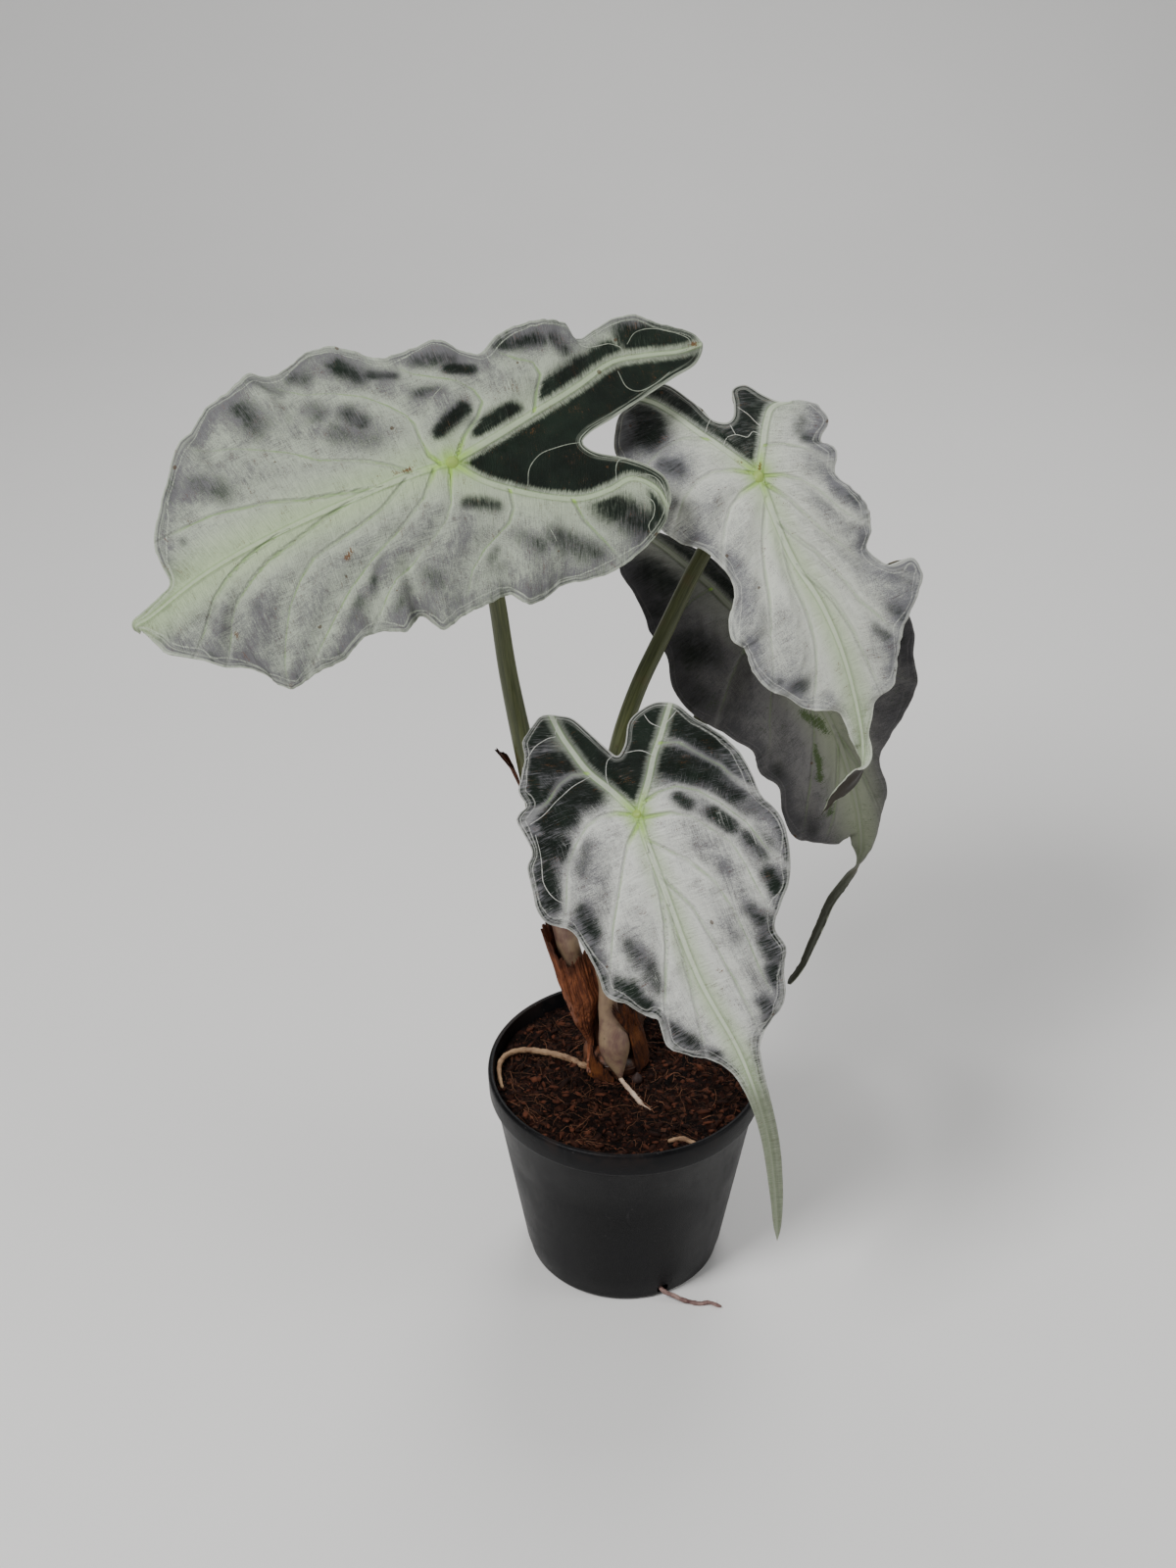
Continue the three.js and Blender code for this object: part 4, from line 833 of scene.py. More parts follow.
@dataclass(frozen=True)
class PlainFinish:
    """The finishes of everything but the blades."""

    effects: Effects

    def stalk(self) -> Material:
        """Returns the olive stalks, tan and pink at the foot, lime where they meet the blade, with painted
        shade at the foot and on their backs among the sheaths.
        """
        s = Finish(self.effects, "stalk skin", Specular_IOR_Level=0.4)
        rise, streaks, place = s.attribute("rise"), s.uv("Streaks"), s.place()
        fibre = s.streaks(streaks, 1.4, 26)
        blotch = s.mottle(place, 80)
        olive = s.mix(s.step(fibre, 0.35, 0.65), (0.055, 0.066, 0.022), (0.115, 0.13, 0.052))
        # The cream of the stalk foot is darkened by about a third: its own colour with painted shade over
        # it, for the shade low in the plant.
        shaded_cream = s.mix(s.step(blotch, 0.4, 0.6), (0.135, 0.074, 0.062), (0.255, 0.18, 0.112))
        tan = s.mix(s.times(s.step(fibre, 0.4, 0.62), 0.25), shaded_cream, (0.3, 0.2, 0.12))
        turn = s.total(rise, s.about(blotch, 0.25))
        color = s.mix(s.step(turn, 0.22, 0.52), tan, olive)
        _, back, height = s.xyz(place)
        # Dark brown on the backs of the stalks low down, among the sheaths: painted shade.
        painted_shade_behind = s.times(s.step(back, 0.0045, 0.0065), s.step(height, 0.142, 0.126), 0.92)
        color = s.mix(painted_shade_behind, color, s.mix(fibre, (0.02, 0.007, 0.004), (0.06, 0.022, 0.01)))
        color = s.mix(s.times(s.step(blotch, 0.56, 0.72), 0.3), color, (0.13, 0.07, 0.035))
        color = s.mix(s.step(rise, 0.965, 1.0), color, (0.3, 0.42, 0.09))
        color = s.specked(place, color, 420, 0.06, 0.45, (0.07, 0.05, 0.02))
        height = s.total(s.times(fibre, 0.8), s.times(blotch, 0.3))
        roughness = s.step(fibre, 0.3, 0.7, 0.36, 0.5)
        return s.dressed(color, Roughness=roughness, Normal=s.bump(height, 0.0004, 0.7))

    def sheath(self, name: str, low: Color, high: Color, bleached: Color) -> Material:
        """Returns dry, papery sheath: streaked, and dark at its torn edge.

        Args:
            name: The material's name.
            low: The colour in its creases.
            high: The colour on its folds.
            bleached: The colour of its worn patches.

        Returns:
            The material.
        """
        s = Finish(self.effects, name, roughness=0.8, Specular_IOR_Level=0.25)
        rise, streaks, place = s.attribute("rise"), s.uv("Streaks"), s.place()
        fibre = s.streaks(streaks, 1.7, 16)
        blotch = s.mottle(place, 75)
        mixed = s.total(s.times(fibre, 0.6), s.times(blotch, 0.4))
        color = s.mix(s.step(mixed, 0.38, 0.62), low, high)
        worn = s.times(s.step(blotch, 0.5, 0.62), s.step(rise, 0.75, 0.35), 0.6)
        color = s.mix(worn, color, bleached)
        flecks = s.step(s.noise(s.stretched(place, (700, 700, 190)), 1.0, 2), 0.6, 0.68)
        color = s.mix(s.times(flecks, 0.75), color, tuple(0.35 * c for c in low))
        color = s.mix(s.times(s.step(rise, 0.86, 1.0), 0.8), color, tuple(0.5 * c for c in low))
        color = s.mix(s.times(s.step(blotch, 0.43, 0.32), 0.8), color, tuple(0.6 * c for c in low))
        height = s.total(fibre, s.times(s.noise(place, 700, 3), 0.6))
        roughness = s.step(fibre, 0.3, 0.7, 0.7, 0.9)
        return s.dressed(color, Roughness=roughness, Normal=s.bump(height, 0.0007, 0.9))

    def stem(self) -> Material:
        """Returns the stem: brown cork above, pinkish translucent skin below."""
        s = Finish(self.effects, "stem skin", roughness=0.6)
        place = s.place()
        _, _, height = s.xyz(place)
        blotch = s.mottle(place, 140)
        cork = s.mix(s.step(blotch, 0.38, 0.62), (0.028, 0.01, 0.005), (0.13, 0.045, 0.018))
        skin = s.mix(s.step(blotch, 0.38, 0.62), (0.06, 0.022, 0.012), (0.19, 0.085, 0.05))
        color = s.mix(s.step(height, 0.092, 0.1), skin, cork)
        rings = s.noise(s.stretched(place, (60, 60, 900)), 1.0, 2)
        bumped = s.bump(s.total(rings, blotch), 0.0008, 0.8)
        return s.dressed(color, Roughness=s.step(blotch, 0.3, 0.7, 0.45, 0.75), Normal=bumped)

    def root(self, name: str, young: Color, old: Color) -> Material:
        """Returns the skin of a bare root.

        Args:
            name: The material's name.
            young: The colour of its pale stretches.
            old: The colour of its worn stretches.

        Returns:
            The material.
        """
        s = Finish(self.effects, name, Specular_IOR_Level=0.35)
        place, streaks = s.place(), s.uv("Streaks")
        blotch = s.mottle(place, 160)
        fibre = s.streaks(streaks, 2.2, 7)
        color = s.mix(s.step(s.total(s.times(blotch, 0.6), s.times(fibre, 0.4)), 0.36, 0.62), old, young)
        color = s.specked(place, color, 600, 0.16, 0.6, (0.05, 0.02, 0.012))
        height = s.total(fibre, s.noise(place, 1500, 2))
        roughness = s.step(blotch, 0.3, 0.7, 0.5, 0.72)
        return s.dressed(color, Roughness=roughness, Normal=s.bump(height, 0.0003, 0.8))

    def soil(self) -> Material:
        """Returns damp coir and peat: almost black, with warm crumbs."""
        s = Finish(self.effects, "coir soil", roughness=0.9, Specular_IOR_Level=0.12)
        place = s.place()
        coarse = s.mottle(place, 130)
        crumbs = s.node("TexVoronoi", {"Vector": place, "Scale": 480.0, "Randomness": 1.0})
        chance, warmth, _ = s.xyz(crumbs.outputs["Color"])
        color = s.mix(s.step(coarse, 0.34, 0.66), (0.0022, 0.001, 0.0008), (0.01, 0.0036, 0.0024))
        color = s.mix(s.times(s.step(chance, 0.62, 0.9), 0.8), color, (0.032, 0.0095, 0.0055))
        color = s.mix(s.times(s.step(warmth, 0.93, 0.99), 0.8), color, (0.11, 0.045, 0.026))
        fine = s.noise(place, 1700, 4, 0.7)
        height = s.total(s.times(crumbs.outputs["Distance"], 1.6), s.times(fine, 1.1), coarse)
        roughness = s.step(fine, 0.3, 0.7, 0.72, 0.95)
        return s.dressed(color, Roughness=roughness, Normal=s.bump(height, 0.0011, 1.0))

    def crumb(self, name: str, low: Color, high: Color) -> Material:
        """Returns a finish for loose crumbs or fibres, each of its own tone.

        Args:
            name: The material's name.
            low: The darkest tone.
            high: The lightest tone.

        Returns:
            The material.
        """
        s = Finish(self.effects, name, roughness=0.85, Specular_IOR_Level=0.15)
        tone, place = s.attribute("tone"), s.place()
        fine = s.noise(place, 1500, 3, 0.65)
        color = s.mix(s.total(s.times(tone, 0.75), s.times(fine, 0.4), -0.1), low, high)
        roughness = s.step(fine, 0.3, 0.7, 0.7, 0.92)
        return s.dressed(color, Roughness=roughness, Normal=s.bump(fine, 0.0005, 0.9))

    def pot(self) -> Material:
        """Returns moulded black plastic: satin, finely grained, with scuffs and dust."""
        s = Finish(self.effects, "black moulded plastic", Specular_IOR_Level=0.12)
        place = s.place()
        _, _, height = s.xyz(place)
        grain = s.noise(place, 2200, 2, 0.6)
        blotch = s.mottle(place, 45)
        scuffs = s.noise(s.stretched(place, (260, 260, 26)), 1.0, 4, 0.7)
        color = s.mix(s.step(blotch, 0.35, 0.65), (0.0026, 0.0027, 0.0032), (0.0058, 0.0058, 0.0068))
        color = s.mix(s.times(s.step(scuffs, 0.6, 0.74), 0.35), color, (0.045, 0.043, 0.045))
        soiled = s.times(s.step(height, 0.09, 0.1), s.step(blotch, 0.5, 0.62))
        color = s.mix(s.times(soiled, 0.3), color, (0.03, 0.016, 0.011))
        color = s.specked(place, color, 800, 0.05, 0.3, (0.1, 0.09, 0.09))
        roughness = s.total(s.step(blotch, 0.3, 0.7, 0.33, 0.46), s.times(s.step(scuffs, 0.55, 0.75), 0.12))
        bumped = s.bump(s.total(grain, s.times(blotch, 0.6)), 0.00018, 0.7)
        return s.dressed(color, Roughness=roughness, Normal=bumped)

    def floor(self) -> Material:
        """Returns the pale studio floor."""
        s = Finish(self.effects, "studio floor", roughness=0.65)
        tone = s.noise(s.place(), 6, 3)
        return s.dressed(s.mix(tone, (0.76, 0.75, 0.735), (0.8, 0.79, 0.775)))


def new_object(name: str, data: bpy.types.ID) -> Object:
    """Returns a new object, linked to the scene."""
    made = bpy.data.objects.new(name, data)
    bpy.context.scene.collection.objects.link(made)
    return made


def smooth_object(name: str, bm: BMesh, materials: list[Material]) -> Object:
    """Returns a smoothly shaded object of a mesh, which is freed."""
    for face in bm.faces:
        face.smooth = True
    mesh = bpy.data.meshes.new(name)
    bm.to_mesh(mesh)
    bm.free()
    for material in materials:
        mesh.materials.append(material)
    return new_object(name, mesh)


def new_piece(name: str, bm: BMesh, materials: list[Material]) -> Object:
    """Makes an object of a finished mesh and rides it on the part.

    Args:
        name: The piece's name.
        bm: Its mesh, in metres, which is freed.
        materials: Its materials, in the order of their numbers.

    Returns:
        The object.
    """
    piece = smooth_object(name, bm, materials)
    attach(piece, "root")
    return piece


def add_grid(bm: BMesh, rows: int, columns: int) -> tuple[Verts, Array]:
    """Adds a grid whose places run from 0 to 1 both ways.

    Args:
        bm: The mesh that it goes into.
        rows: Its steps along the first way.
        columns: Its steps along the second way.

    Returns:
        Its vertices, and their places, one a row.
    """
    made = bmesh.ops.create_grid(bm, x_segments=rows, y_segments=columns, size=0.5)["verts"]
    places = np.array([(v.co.x + 0.5, v.co.y + 0.5) for v in made])
    return made, places


def write_map(bm: BMesh, name: str, verts: Verts, values: Array) -> None:
    """Writes a map on the faces between some vertices, each of which has one value there."""
    layer = bm.loops.layers.uv[name]
    for vert, value in zip(verts, values):
        for loop in vert.link_loops:
            loop[layer].uv = value


def new_mesh(*numbers: str, maps: tuple[str, ...] = ()) -> BMesh:
    """Returns an empty mesh whose vertices hold some named numbers, with maps."""
    bm = bmesh.new()
    for name in numbers:
        bm.verts.layers.float.new(name)
    for name in maps:
        bm.loops.layers.uv.new(name)
    return bm


def pour(bm: BMesh, part: BMesh) -> None:
    """Adds a small mesh to a larger one and frees the small one."""
    mesh = bpy.data.meshes.new("part")
    part.to_mesh(mesh)
    part.free()
    bm.from_mesh(mesh)
    bpy.data.meshes.remove(mesh)


def write_number(bm: BMesh, name: str, verts: Verts, values: Array) -> None:
    """Writes a number on each of some vertices."""
    layer = bm.verts.layers.float[name]
    for vert, value in zip(verts, values):
        vert[layer] = value


class BladeSheet:
    """The flat net of a blade, and how it is bent into space.

    Its grid lines follow the ribs: an outer patch on each side from the lobe's end to the tip, and a
    fan between the ribs of the two lobes.
    """

    LOBE_PITCH = 1.15
    RIB_PITCH = 0.95
    COLUMNS = 46
    FAN_STEPS = 76
    OPEN = 24.0
    FOLD_ROUND = 6.0
    ACROSS_COUNTS = 0.4
    # The space between side veins that the map holds at most, and what it holds on the fan.
    WIDEST_GAP = 50
    FAN_GAP = 60

    def __init__(self, shape: BladeShape) -> None:
        """Works out the curves of a blade."""
        self.shape = shape
        self.axis = SmoothCurve(shape.axis)
        self.start = self.axis.knots[shape.stalk_at]
        self.end = self.axis.length - self.start
        self.ribs = {side: SmoothCurve([(0, 0), *line]) for side, line in shape.ribs.items()}
        ends = {side: line[-1] for side, line in shape.ribs.items()}
        self.margins = {
            side: self.lifted([ends[side], *shape.margins[side], (self.end, 0)]) for side in Side
        }
        self.hem = self.lifted([ends[Side.RIGHT], *shape.inner, ends[Side.LEFT]])
        longest = max(rib.length for rib in self.ribs.values())
        self.lobe_steps = round(longest / self.LOBE_PITCH)
        self.rib_steps = round(self.end / self.RIB_PITCH)

    def lifted(self, points: Points) -> SmoothCurve:
        """Returns a curve through margin points, with a lift of 0 where they give none."""
        return SmoothCurve([(*point, 0)[:3] for point in points])

    def margin_at(self, side: Side, share: Array) -> Array:
        """Reads a margin by shares of its length, in which a step across counts less than one along."""
        samples = self.margins[side].samples
        step = np.diff(samples, axis=0)
        run = np.concatenate([[0], np.cumsum(np.hypot(step[:, 0], self.ACROSS_COUNTS * step[:, 1]))])
        return np.stack([np.interp(share * run[-1], run, column) for column in samples.T], -1)

    def vein_phase(self, side: Side, flat: Array) -> tuple[Array, Array]:
        """Numbers flat points by the side veins that they lie between.

        Args:
            side: The half of the blade.
            flat: Flat points, one a row.

        Returns:
            A number that is whole on each side vein, and the space between the two nearest ones.
        """
        lines = [lengthened(line, 4, 25) for line in self.shape.veins[side]]
        read = [line_distance(flat, line) for line in lines]
        passed = sum((turn * -side.value > 0).astype(int) for _, turn in read)
        away = np.stack([distance for distance, _ in read])
        rows = np.arange(len(flat))
        before = np.where(passed > 0, away[np.maximum(passed - 1, 0), rows], self.OPEN)
        after = np.where(passed < len(lines), away[np.minimum(passed, len(lines) - 1), rows], self.OPEN)
        gap = before + after
        return passed - 1 + before / gap + 10, np.minimum(gap, self.WIDEST_GAP)

    def outer(self, side: Side, places: Array) -> dict[str, Array]:
        """Returns the flat points and maps of an outer patch.

        Args:
            side: The half of the blade.
            places: Places on the patch: the share of the way from the lobe's end to the tip, and
                from the rib to the margin.

        Returns:
            The flat points with their lift, and the two maps.
        """
        step = places[:, 0] * (self.lobe_steps + self.rib_steps)
        t = places[:, 1]
        lobe = self.ribs[side].length
        on_lobe = step < self.lobe_steps
        ahead = (step - self.lobe_steps) / self.rib_steps * self.end
        passed = np.where(on_lobe, lobe * step / self.lobe_steps, lobe + ahead)
        root = self.ribs[side].at(np.clip(lobe - passed, 0, lobe))
        root = np.where(on_lobe[:, None], root, np.stack([ahead, 0 * ahead], -1))
        to = self.margin_at(side, passed / (lobe + self.end))
        reach = to[:, :2] - root
        width = np.linalg.norm(reach, axis=1)
        flat = root + reach * t[:, None]
        phase, gap = self.vein_phase(side, flat)
        swell = 0.5 - 0.5 * np.cos(math.tau * phase)
        puff = 0.084 * np.minimum(width, 34) * swell * np.sin(math.pi * t)
        bent = 0.85 * passed + 2.6 * np.sin(0.19 * t * width)
        crease = np.sin(bent) * np.sin(0.5 * t * width + 0.07 * passed)
        near = np.minimum(1, width / 20)
        puff += 0.38 * near * crease * swell * np.sin(math.pi * t) ** 0.5
        ripple = 0.45 * np.sin(math.tau * passed / 6.3 + 2 * np.sin(passed / 9)) * t**6 * near
        ripple += 0.22 * np.sin(math.tau * passed / 3.1) * t**10 * near
        lift = to[:, 2] * t**2.2 + puff + ripple
        return {
            "points": np.column_stack([flat, lift]),
            "Veins": np.column_stack([phase, gap]),
            "Streaks": np.column_stack([passed, t * width]),
        }

    def fan(self, places: Array) -> dict[str, Array]:
        """Returns the flat points and maps of the fan between the lobes' ribs.

        Args:
            places: Places on the fan: the share of the way from the right lobe's rib to the left
                one's, and from the stalk to the inner margin.

        Returns:
            The flat points with their lift, and the two maps.
        """
        s, t = places[:, 0], places[:, 1]
        to = self.hem.at(s * self.hem.length)[:, :2]
        flat = to * t[:, None]
        for side, weight in ((Side.RIGHT, 1 - s), (Side.LEFT, s)):
            rib = self.ribs[side]
            bend = rib.at(t * rib.length) - np.outer(t, rib.samples[-1])
            flat += bend * (weight**6)[:, None]
        lift = 0.5 * np.sin(math.pi * s) ** 2 * np.sin(math.pi * t) * np.sin(t * 9 + s * 5)
        radius = np.linalg.norm(flat, axis=1)
        return {
            "points": np.column_stack([flat, lift]),
            "Veins": np.column_stack([0 * s + 10.5, 0 * s + self.FAN_GAP]),
            "Streaks": np.column_stack([radius, s * radius * 1.5 + 40]),
        }

    def place(self, points: Array) -> Array:
        """Bends flat points with a lift into space.

        Args:
            points: Rows of x, y and lift.

        Returns:
            Rows of places in space, in millimetres.
        """
        x, y, lift = points.T
        along = np.clip(x + self.start, 0, self.axis.length)
        tangent = self.axis.tangent(along)
        beyond = x + self.start - along
        facing = unit(np.array(self.shape.facing, float))
        normal = unit(facing - (tangent @ facing)[:, None] * tangent)
        at, turns = zip(*self.shape.roll)
        roll = np.radians(np.interp(x, at, turns))[:, None]
        normal = normal * np.cos(roll) + np.cross(tangent, normal) * np.sin(roll)
        across = np.cross(normal, tangent)
        fold = self.shape.fold * (np.hypot(y, self.FOLD_ROUND) - self.FOLD_ROUND)
        height = fold - self.shape.camber * y * y / 2 + lift
        level = self.axis.at(along) + tangent * beyond[:, None] + across * y[:, None]
        return level + normal * height[:, None]

    def rib_distance(self, flat: Array) -> Array:
        """Returns how far flat points lie from the midrib and the lobes' ribs."""
        midrib = np.array([(0, 0), (self.end, 0)], float)
        return nearest(flat, [midrib, *(rib.samples[::12] for rib in self.ribs.values())])

    def edge_distance(self, flat: Array) -> Array:
        """Returns how far flat points lie from the nearest margin."""
        return nearest(flat, [line.samples[::6, :2] for line in (*self.margins.values(), self.hem)])

    def depth(self, flat: Array, marks: Points, spread: float = 1.0) -> Array:
        """Returns how strongly some islands or scars mark flat points.

        Args:
            flat: Flat points, one a row.
            marks: The islands or scars.
            spread: How far they fade out, in their own radii.
        """
        depth = np.zeros(len(flat))
        for x, y, to_x, to_y, radius, strength in marks:
            away, _ = line_distance(flat, np.array([(x, y), (to_x, to_y)], float))
            depth = np.maximum(depth, strength * np.exp(-((away / (spread * radius)) ** 2)))
        return depth


class Blade:
    """One leaf blade: a sheet with ribs below, and fine veins on its dark parts."""

    THICKNESS = 0.55
    RIB_BELOW = 1.7
    RIB_REACH = 2.6
    THREAD_RADIUS = 0.16
    ISLAND_SPREAD = 1.6

    def __init__(self, shape: BladeShape, effects: Effects) -> None:
        """Keeps the blade's shape and its finishes."""
        self.shape = shape
        self.sheet = BladeSheet(shape)
        self.materials = BladeMaterials(shape, effects)

    def flat_mesh(self) -> BMesh:
        """Returns the blade as a flat net, in millimetres, with its maps."""
        bm = new_mesh("rib", "edge", "dark", "hub", "scar", "lobe", maps=("Veins", "Streaks"))
        rows = self.sheet.lobe_steps + self.sheet.rib_steps
        patches = []
        for side in Side:
            verts, places = add_grid(bm, rows, self.sheet.COLUMNS)
            patches.append((verts, self.sheet.outer(side, places)))
        verts, places = add_grid(bm, self.sheet.FAN_STEPS, self.sheet.lobe_steps)
        patches.append((verts, self.sheet.fan(places)))
        for verts, values in patches:
            for vert, point in zip(verts, values["points"]):
                vert.co = point
            for name in ("Veins", "Streaks"):
                write_map(bm, name, verts, values[name])
        bmesh.ops.remove_doubles(bm, verts=bm.verts, dist=0.02)
        bmesh.ops.dissolve_degenerate(bm, edges=bm.edges, dist=0.005)
        bmesh.ops.triangulate(bm, faces=bm.faces)
        bm.normal_update()
        bmesh.ops.reverse_faces(bm, faces=[f for f in bm.faces if f.normal.z < 0])
        bm.verts.ensure_lookup_table()
        return bm

    def build(self) -> None:
        """Builds the blade and its fine veins in place of the CAD blade."""
        bm = self.flat_mesh()
        points = np.array([v.co for v in bm.verts])
        flat = points[:, :2]
        verts = list(bm.verts)
        rib = self.sheet.rib_distance(flat)
        islands = self.sheet.depth(flat, self.shape.islands, self.ISLAND_SPREAD)
        numbers = {
            "rib": rib,
            "edge": self.sheet.edge_distance(flat),
            "dark": np.maximum(islands, self.between_lobes(bm)),
            "hub": np.linalg.norm(flat, axis=1),
            "lobe": ease(-flat[:, 0], -2, 16),
            "scar": self.sheet.depth(flat, self.shape.scars),
        }
        for key, values in numbers.items():
            write_number(bm, key, verts, values)
        tree = BVHTree.FromBMesh(bm)
        before = [v.co.copy() for v in verts]
        placed = self.sheet.place(points) * MM
        corners = [[v.index for v in face.verts] for face in bm.faces]
        for vert, place in zip(verts, placed):
            vert.co = place
        name = f"leaf_blade_{self.shape.name}"
        piece = new_piece(name, bm, [self.materials.upper(), self.materials.under()])
        self.thicken(piece, rib, flat)
        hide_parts(f"blade_{self.shape.name}")
        self.build_threads(tree, before, [Vector(p) for p in placed], corners)
        log.info("%s: %d triangles", name, 2 * len(piece.data.polygons))

    def between_lobes(self, bm: BMesh) -> Array:
        """Returns 1 for the vertices of the fan, whose map holds no side veins, and 0 for others."""
        layer = bm.loops.layers.uv["Veins"]
        found = np.zeros(len(bm.verts))
        for vert in bm.verts:
            found[vert.index] = any(loop[layer].uv.y > BladeSheet.FAN_GAP - 0.5 for loop in vert.link_loops)
        return found * (1.15 if self.shape.finish.band > 0.3 else 0.9)

    def thicken(self, piece: Object, rib: Array, flat: Array) -> None:
        """Gives the sheet its thickness downwards, more of it along the ribs.

        Args:
            piece: The blade's object.
            rib: Each vertex's distance from a rib.
            flat: Each vertex's flat place.
        """
        most = self.THICKNESS + self.RIB_BELOW
        share = np.clip(np.linalg.norm(flat, axis=1) / self.sheet.end, 0, 1)
        below = self.RIB_BELOW * (1 - 0.8 * share) * np.exp(-((rib / self.RIB_REACH) ** 2))
        group = piece.vertex_groups.new(name="thickness")
        for index, value in enumerate((self.THICKNESS + below) / most):
            group.add([index], float(value), "REPLACE")
        modify(
            piece, "thickness", "SOLIDIFY", thickness=most * MM, offset=-1, vertex_group=group.name,
            material_offset=1, material_offset_rim=0, use_even_offset=False,
        )

    def build_threads(
        self, tree: BVHTree, flat: list[Vector], placed: list[Vector], corners: list[list[int]]
    ) -> None:
        """Lays the fine white veins on the blade.

        Args:
            tree: The flat net's triangles.
            flat: The vertices of the net, flat.
            placed: The same vertices in space.
            corners: The vertices of each triangle.
        """
        if not self.shape.threads:
            return
        bm = new_mesh("rise", maps=("Streaks",))
        for line in self.shape.threads:
            curve = SmoothCurve(line)
            path = []
            for x, y in curve.at(np.linspace(0, curve.length, max(8, round(curve.length / 0.8)))):
                _, _, index, _ = tree.ray_cast(Vector((x, y, 60)), Vector((0, 0, -1)))
                if index is None:
                    continue
                on_net = [Vector((*flat[i].xy, 0)) for i in corners[index]]
                in_space = [placed[i] for i in corners[index]]
                path.append(barycentric_transform(Vector((x, y, 0)), *on_net, *in_space))
            if len(path) > 4:
                share = np.linspace(0, 1, len(path))
                radii = self.THREAD_RADIUS * MM * (0.35 + 0.65 * np.sin(math.pi * (0.12 + 0.76 * share)))
                add_tube(bm, np.array(path), radii, sides=6)
        name = f"leaf_veins_{self.shape.name}"
        new_piece(name, bm, [self.materials.thread()])


def add_tube(
    bm: BMesh, path: Array, radii: Array, sides: int, ridges: float = 0.0, tone: float = 0.0
) -> None:
    """Adds a round tube with rounded ends, with maps of what runs along it.

    Args:
        bm: The mesh that it goes into.
        path: The points of its middle line, in metres.
        radii: Its radius at each of them, in metres.
        sides: How many sides it has.
        ridges: How far fine lengthwise ridges stand out, as a share of the radius.
        tone: A number for its colour.
    """
    part = new_mesh("rise", "tone", maps=("Streaks",))
    tangents = unit(np.gradient(path, axis=0))
    caps = [(path[0] - tangents[0] * radii[0] * k, radii[0] * r) for k, r in ((0.9, 0.02), (0.5, 0.75))]
    ends = [(path[-1] + tangents[-1] * radii[-1] * k, radii[-1] * r) for k, r in ((0.5, 0.75), (0.9, 0.02))]
    points = np.vstack([[p for p, _ in caps], path, [p for p, _ in ends]])
    sizes = np.concatenate([[r for _, r in caps], radii, [r for _, r in ends]])
    tangents = np.vstack([tangents[:1], tangents[:1], tangents, tangents[-1:], tangents[-1:]])
    normal = np.cross(tangents[0], (0.31, 0.23, 0.92))
    frames = []
    for tangent in tangents:
        normal = unit(normal - tangent * (normal @ tangent))
        frames.append((normal, np.cross(tangent, normal)))
    rows = len(points) - 1
    run = np.concatenate([[0], np.cumsum(np.linalg.norm(np.diff(points, axis=0), axis=1))])
    verts, places = add_grid(part, rows, sides)
    maps, rise = [], []
    for vert, (u, v) in zip(verts, places):
        i = round(u * rows)
        angle = math.tau * (round(v * sides) % sides) / sides
        a, b = frames[i]
        radius = sizes[i] * (1 + ridges * math.sin(9 * angle + 3 * math.sin(run[i] * 40)))
        vert.co = points[i] + radius * (a * math.cos(angle) + b * math.sin(angle))
        maps.append((v * math.tau * sizes[i] / MM, run[i] / MM))
        rise.append(run[i] / run[-1])
    write_map(part, "Streaks", verts, np.array(maps))
    write_number(part, "rise", verts, np.array(rise))
    write_number(part, "tone", verts, np.full(len(verts), tone))
    bmesh.ops.remove_doubles(part, verts=part.verts, dist=1e-7)
    bmesh.ops.recalc_face_normals(part, faces=part.faces)
    pour(bm, part)


# The soil's longest fibres, as the photograph shows them: (x, y, x, y, radius, tone).
LAID: Points = [
    (-43, -13, -31, -17, 0.12, 0.55), (-51, -17, -36, -32, 0.12, 0.6), (-46, -20, -39, -31, 0.11, 0.7),
    (-39, -17, -34, -24, 0.1, 0.6), (-48, -14, -37, -26, 0.09, 0.5), (-50, -23, -41, -33, 0.1, 0.45),
    (-42, -22, -33, -29, 0.1, 0.5), (-23, -44, -7, -45, 0.2, 0.45), (-28, -37, -18, -32, 0.13, 0.6),
    (-27, -42, -19, -32, 0.12, 0.55), (17, -2, 24, -1, 0.14, 1), (13, -18, 17, -21, 0.14, 1),
    (32, -28, 36, -28, 0.15, 0.8), (33, -24, 37, -23, 0.13, 0.7), (-18, -45, -11, -48, 0.12, 0.6),
    (-12, -27, -7, -23, 0.12, 0.5), (0, -36, 5, -30, 0.12, 0.5), (7, -19, 12, -24, 0.16, 0.9),
    (11, -22, 14, -21, 0.12, 0.9), (-50, -2, -47, -12, 0.12, 0.7), (-51, 4, -49, -9, 0.12, 0.7),
]


